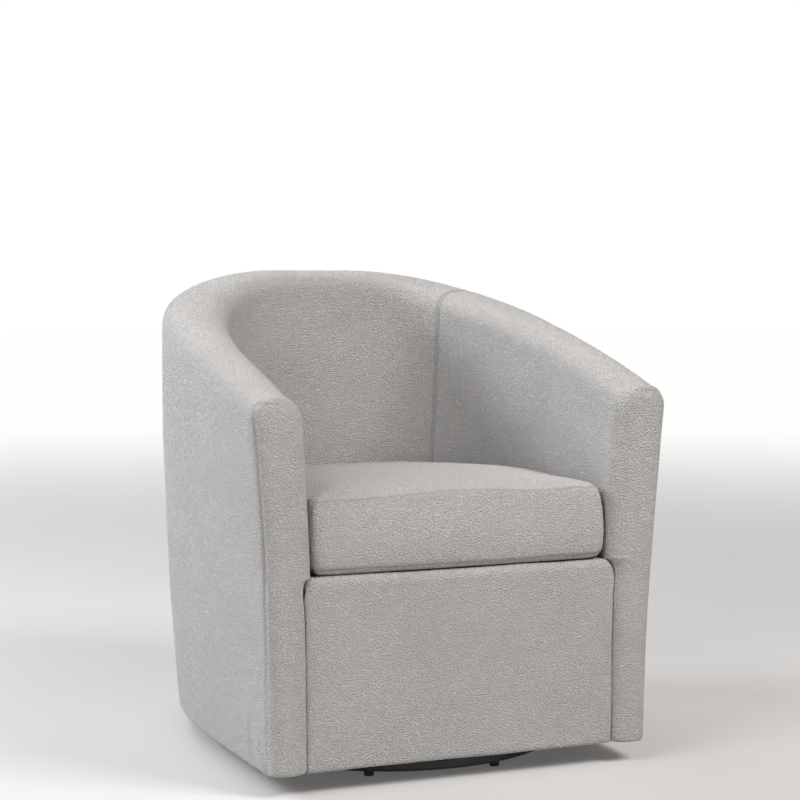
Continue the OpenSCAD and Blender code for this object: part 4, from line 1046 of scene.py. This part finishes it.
def cushion_form(inset, top=None):
    """A closed form over the outline; an inset one is the same form, smaller all round."""
    spread = np.unique(np.concatenate([np.linspace(0, along[-1], 110), along]))
    r = np.interp(spread, along, section[:, 0])
    z = np.interp(spread, along, section[:, 1])
    r = np.maximum(0, r - inset / half_across * share(r / 0.9))
    z = mix(deck_z + inset, crown_z - inset, (z - deck_z) / (crown_z - deck_z))
    if top is not None:
        z = np.minimum(z, top)
    xy = cushion_mid + (outline[None] - cushion_mid) * r[:, None, None]
    ring = np.concatenate([xy, np.broadcast_to(z[:, None, None], (*xy.shape[:2], 1))], -1)
    bm = bmesh.new()
    lay_grid(bm, np.concatenate([ring, ring[:, :1]], axis=1))
    merge(bm, 2e-6)
    face_out(bm, (0, 0, 1))
    return bm


def settle(bm, crown_share):
    """The crown flattens with use, most of all at the back. The front seam isn't quite level, and
    the front leans back a little towards its top."""
    back_drop, back_from, back_run = 20, -240, 420
    right_drop, right_from, right_run = 3, 60, 160
    right_end, right_fade = -164, 60
    humps = ((7, -10, 120), (4, 215, 70))
    hump_from, hump_run = -260, 110
    lean_back, lean_from, lean_run, lean_rise = 13, -310, 60, 100
    still_z = 415
    x, y, z = np.array([v.co for v in bm.verts]).T / MM
    top = np.where(z > top_seam_z, top_seam_z + (z - top_seam_z) * crown_share, z)
    upper = share((z - still_z) / (top_seam_z - still_z))
    back = share((y - back_from) / back_run)
    right = share((x - right_from) / right_run) * share((right_end - y) / right_fade)
    lifted = sum(high * np.exp(-((x - at) / wide) ** 2) for high, at, wide in humps)
    lifted = lifted * share((hump_from - y) / hump_run)
    dropped = back_drop * back ** 2 * (3 - 2 * back) + right_drop * right * (1 - back)
    top = top + upper * (lifted - dropped)
    lean = lean_back * share((lean_from - y) / lean_run) * share((z - cushion_low_z) / lean_rise)
    for v, height, set_back in zip(bm.verts, top, lean):
        v.co.z = height * MM
        v.co.y += set_back * MM


def split_at(bm, z, **settings):
    """Cuts a form along a level plane."""
    bmesh.ops.bisect_plane(bm, geom=bm.verts[:] + bm.edges[:] + bm.faces[:],
                           plane_co=(0, 0, z * MM), plane_no=(0, 0, 1), **settings)


under_cover = 5.6
core_top = top_seam_z - 4
core_form = cushion_form(under_cover, core_top)
settle(core_form, 0.7)
core = new_piece("cushion_core_foam", core_form, cream_foam, "cushion", ["cushion_core"])
wrap = cushion_form(under_cover)
split_at(wrap, core_top + 0.4, clear_inner=True)
cap(wrap)
settle(wrap, 0.66)
wrap_piece = new_piece("cushion_wrap_fibre", wrap, wadding_white, "cushion",
                       ["cushion_wrap"])

# The cover starts as one even mesh, cut along both seams
cell, seam_snap, seam_band = 0.0065, 0.0011, 0.003
form = cushion_form(0.6)
form_mesh = bpy.data.meshes.new("cushion_form")
form.to_mesh(form_mesh)
form.free()
form_object = bpy.data.objects.new("cushion_form", form_mesh)
scene.collection.objects.link(form_object)
even = form_object.modifiers.new("even_cells", "REMESH")
even.mode, even.voxel_size = "VOXEL", cell
puffed = bmesh.new()
puffed.from_object(form_object, bpy.context.evaluated_depsgraph_get())
for seam_z in seams:
    split_at(puffed, seam_z, dist=seam_snap)
free = [v for v in puffed.verts
        if min(abs(v.co.z - z * MM) for z in (*seams, deck_z)) > seam_band]
bmesh.ops.smooth_vert(puffed, verts=free, factor=0.5, use_axis_x=True, use_axis_y=True,
                      use_axis_z=True)
panel = puffed.faces.layers.int.new("panel")
for face in puffed.faces:
    z = face.calc_center_median().z / MM
    face[panel] = 0 if z > top_seam_z else 1 if z > low_seam_z else 2
bpy.data.objects.remove(form_object)
bpy.data.meshes.remove(form_mesh)
rest = np.array([v.co for v in puffed.verts])

# The filling presses the panels out between the sewn edges, which hold their place. At the
# zip the cover stays flat.
frames, reach_limit = 20, 0.007
zip_y, zip_y_fade, zip_half, zip_end_fade = 190, 20, 130, 15
sewn_reach, lying_reach = 1.2, 1.4
blown_mesh = bpy.data.meshes.new("blown")
puffed.to_mesh(blown_mesh)
blown = bpy.data.objects.new("blown", blown_mesh)
scene.collection.objects.link(blown)
held = blown.vertex_groups.new(name="sewn")
height = rest[:, 2] / MM
sewn = np.minimum(abs(height - top_seam_z), abs(height - low_seam_z)) < sewn_reach
held.add(np.flatnonzero(sewn | (height < deck_z + lying_reach)).tolist(), 1.0, "REPLACE")
cloth = blown.modifiers.new("filling", "CLOTH")
fabric = cloth.settings
fabric.quality, fabric.mass = 5, 0.4
fabric.tension_stiffness = fabric.compression_stiffness = 18
fabric.bending_stiffness = 2.0
fabric.use_pressure, fabric.uniform_pressure_force = True, 4.0
fabric.vertex_group_mass = "sewn"
fabric.effector_weights.gravity = 0
cloth.point_cache.frame_start, cloth.point_cache.frame_end = 1, frames
for number in range(1, frames + 1):
    scene.frame_set(number)
result = blown.evaluated_get(bpy.context.evaluated_depsgraph_get()).to_mesh()
moved = np.array([v.co for v in result.vertices]) - rest
blown.evaluated_get(bpy.context.evaluated_depsgraph_get()).to_mesh_clear()
scene.frame_set(1)
bpy.data.objects.remove(blown)
bpy.data.meshes.remove(blown_mesh)
reach = np.linalg.norm(moved, axis=1)
at_zip = share((rest[:, 1] / MM - zip_y) / zip_y_fade)
at_zip = at_zip * share((zip_half - np.abs(rest[:, 0]) / MM) / zip_end_fade)
limit = reach_limit * (1 - at_zip)
moved *= (limit * np.tanh(reach / np.maximum(limit, 1e-9)) / np.maximum(reach, 1e-9))[:, None]
for v, p in zip(puffed.verts, rest + moved):
    v.co = p
    v.co.z = max(v.co.z, deck_z * MM)

bmesh.ops.subdivide_edges(puffed, edges=puffed.edges[:], cuts=1, use_grid_fill=True, smooth=0.6)
settle(puffed, 0.68)
on_seam = {v for e in puffed.edges if len({f[panel] for f in e.link_faces}) == 2 for v in e.verts}
puffed.normal_update()
points = np.array([v.co for v in puffed.verts]) / MM
x, y, z = points.T
sewn_line = np.array([v.co for v in on_seam]) / MM
shift = pressed(points, sewn_line, 1.4, 3.0) + uneven(points, 90, 1.4, 40.2) * (z > deck_z + 6)
# A shallow crease runs across the front, just under its top seam
crease_depth, crease_z, crease_h, crease_x, crease_w, crease_y = 0.9, 442, 5, -40, 130, -370
across = np.exp(-((x - crease_x) / crease_w) ** 2) * (y < crease_y)
push(puffed, shift - crease_depth * np.exp(-((z - crease_z) / crease_h) ** 2) * across)
# Painted shade along the cushion's seams, darkening the cloth's colour there
keep_normals_and_seam_shade(puffed, -pressed(points, sewn_line, 0.35, 1.8))
for number, name in enumerate(("cushion_top", "cushion_boxing", "cushion_bottom")):
    cut_panel(name, puffed, number, "cushion")

# --- Cushion zip ----------------------------------------------------------------------------
# A grey zip along the back of the cushion's boxing: two woven tapes with a nylon coil between
# them, and a small metal slider with its tab.
tape_cloth = woven("zip_tape", (0.10, 0.10, 0.105), (0.22, 0.22, 0.225), 420.0, 0.0002)
coil_nylon, shader, tree = new_finish("coil_nylon", 0.35, specular=0.5)
moulded = add_node(tree, "TexNoise", Vector=spot(tree), Scale=800.0, Detail=2.0)
coloured(tree, shader, moulded, (0.3, (0.13, 0.13, 0.135)), (0.7, (0.20, 0.20, 0.205)))
tape_r = back_r + fit
tape_t, tape_half, tape_end = 0.8, 12, 13
coil_r, coil_w, coil_slant = 0.62, 5, 0.0016
coil_end, coil_step = 12.9, 0.24
coil_out = tape_r + tape_t + 0.66


def at_back(angle, r, z):
    """A point on the arc of the cushion's back, seen from the arc's centre."""
    return r * math.sin(angle), zip_centre_y + r * math.cos(angle), belly_z + z


tape_section = [(tape_r, -tape_half), (tape_r, tape_half), (tape_r + tape_t, tape_half),
                (tape_r + tape_t, -tape_half)]
tape_rings = [[at_back(angle, r, z) for r, z in tape_section]
              for angle in np.radians(np.linspace(-tape_end, tape_end, 60))]
new_piece("zip_tapes", lofted(np.array(tape_rings)), tape_cloth, "cushion",
          ["cushion_zip"], fine=False)
coil = bmesh.new()
for angle in np.radians(np.arange(-coil_end, coil_end + 0.05, coil_step)):
    turn = bmesh.ops.create_cone(coil, cap_ends=True, segments=8, radius1=coil_r * MM,
                                 radius2=coil_r * MM, depth=coil_w * MM)
    for v in turn["verts"]:
        x, y, z = v.co / MM
        slanted = angle + x / tape_r + (coil_slant if z > 0 else -coil_slant)
        v.co = Vector(at_back(slanted, coil_out + y, z)) * MM
new_piece("zip_coil", coil, coil_nylon, "cushion")
zip_metal = plated("zip_metal", (0.50, 0.50, 0.50), (0.66, 0.66, 0.65), 0.32, 300.0)
dress(zip_metal, "zip_slider")
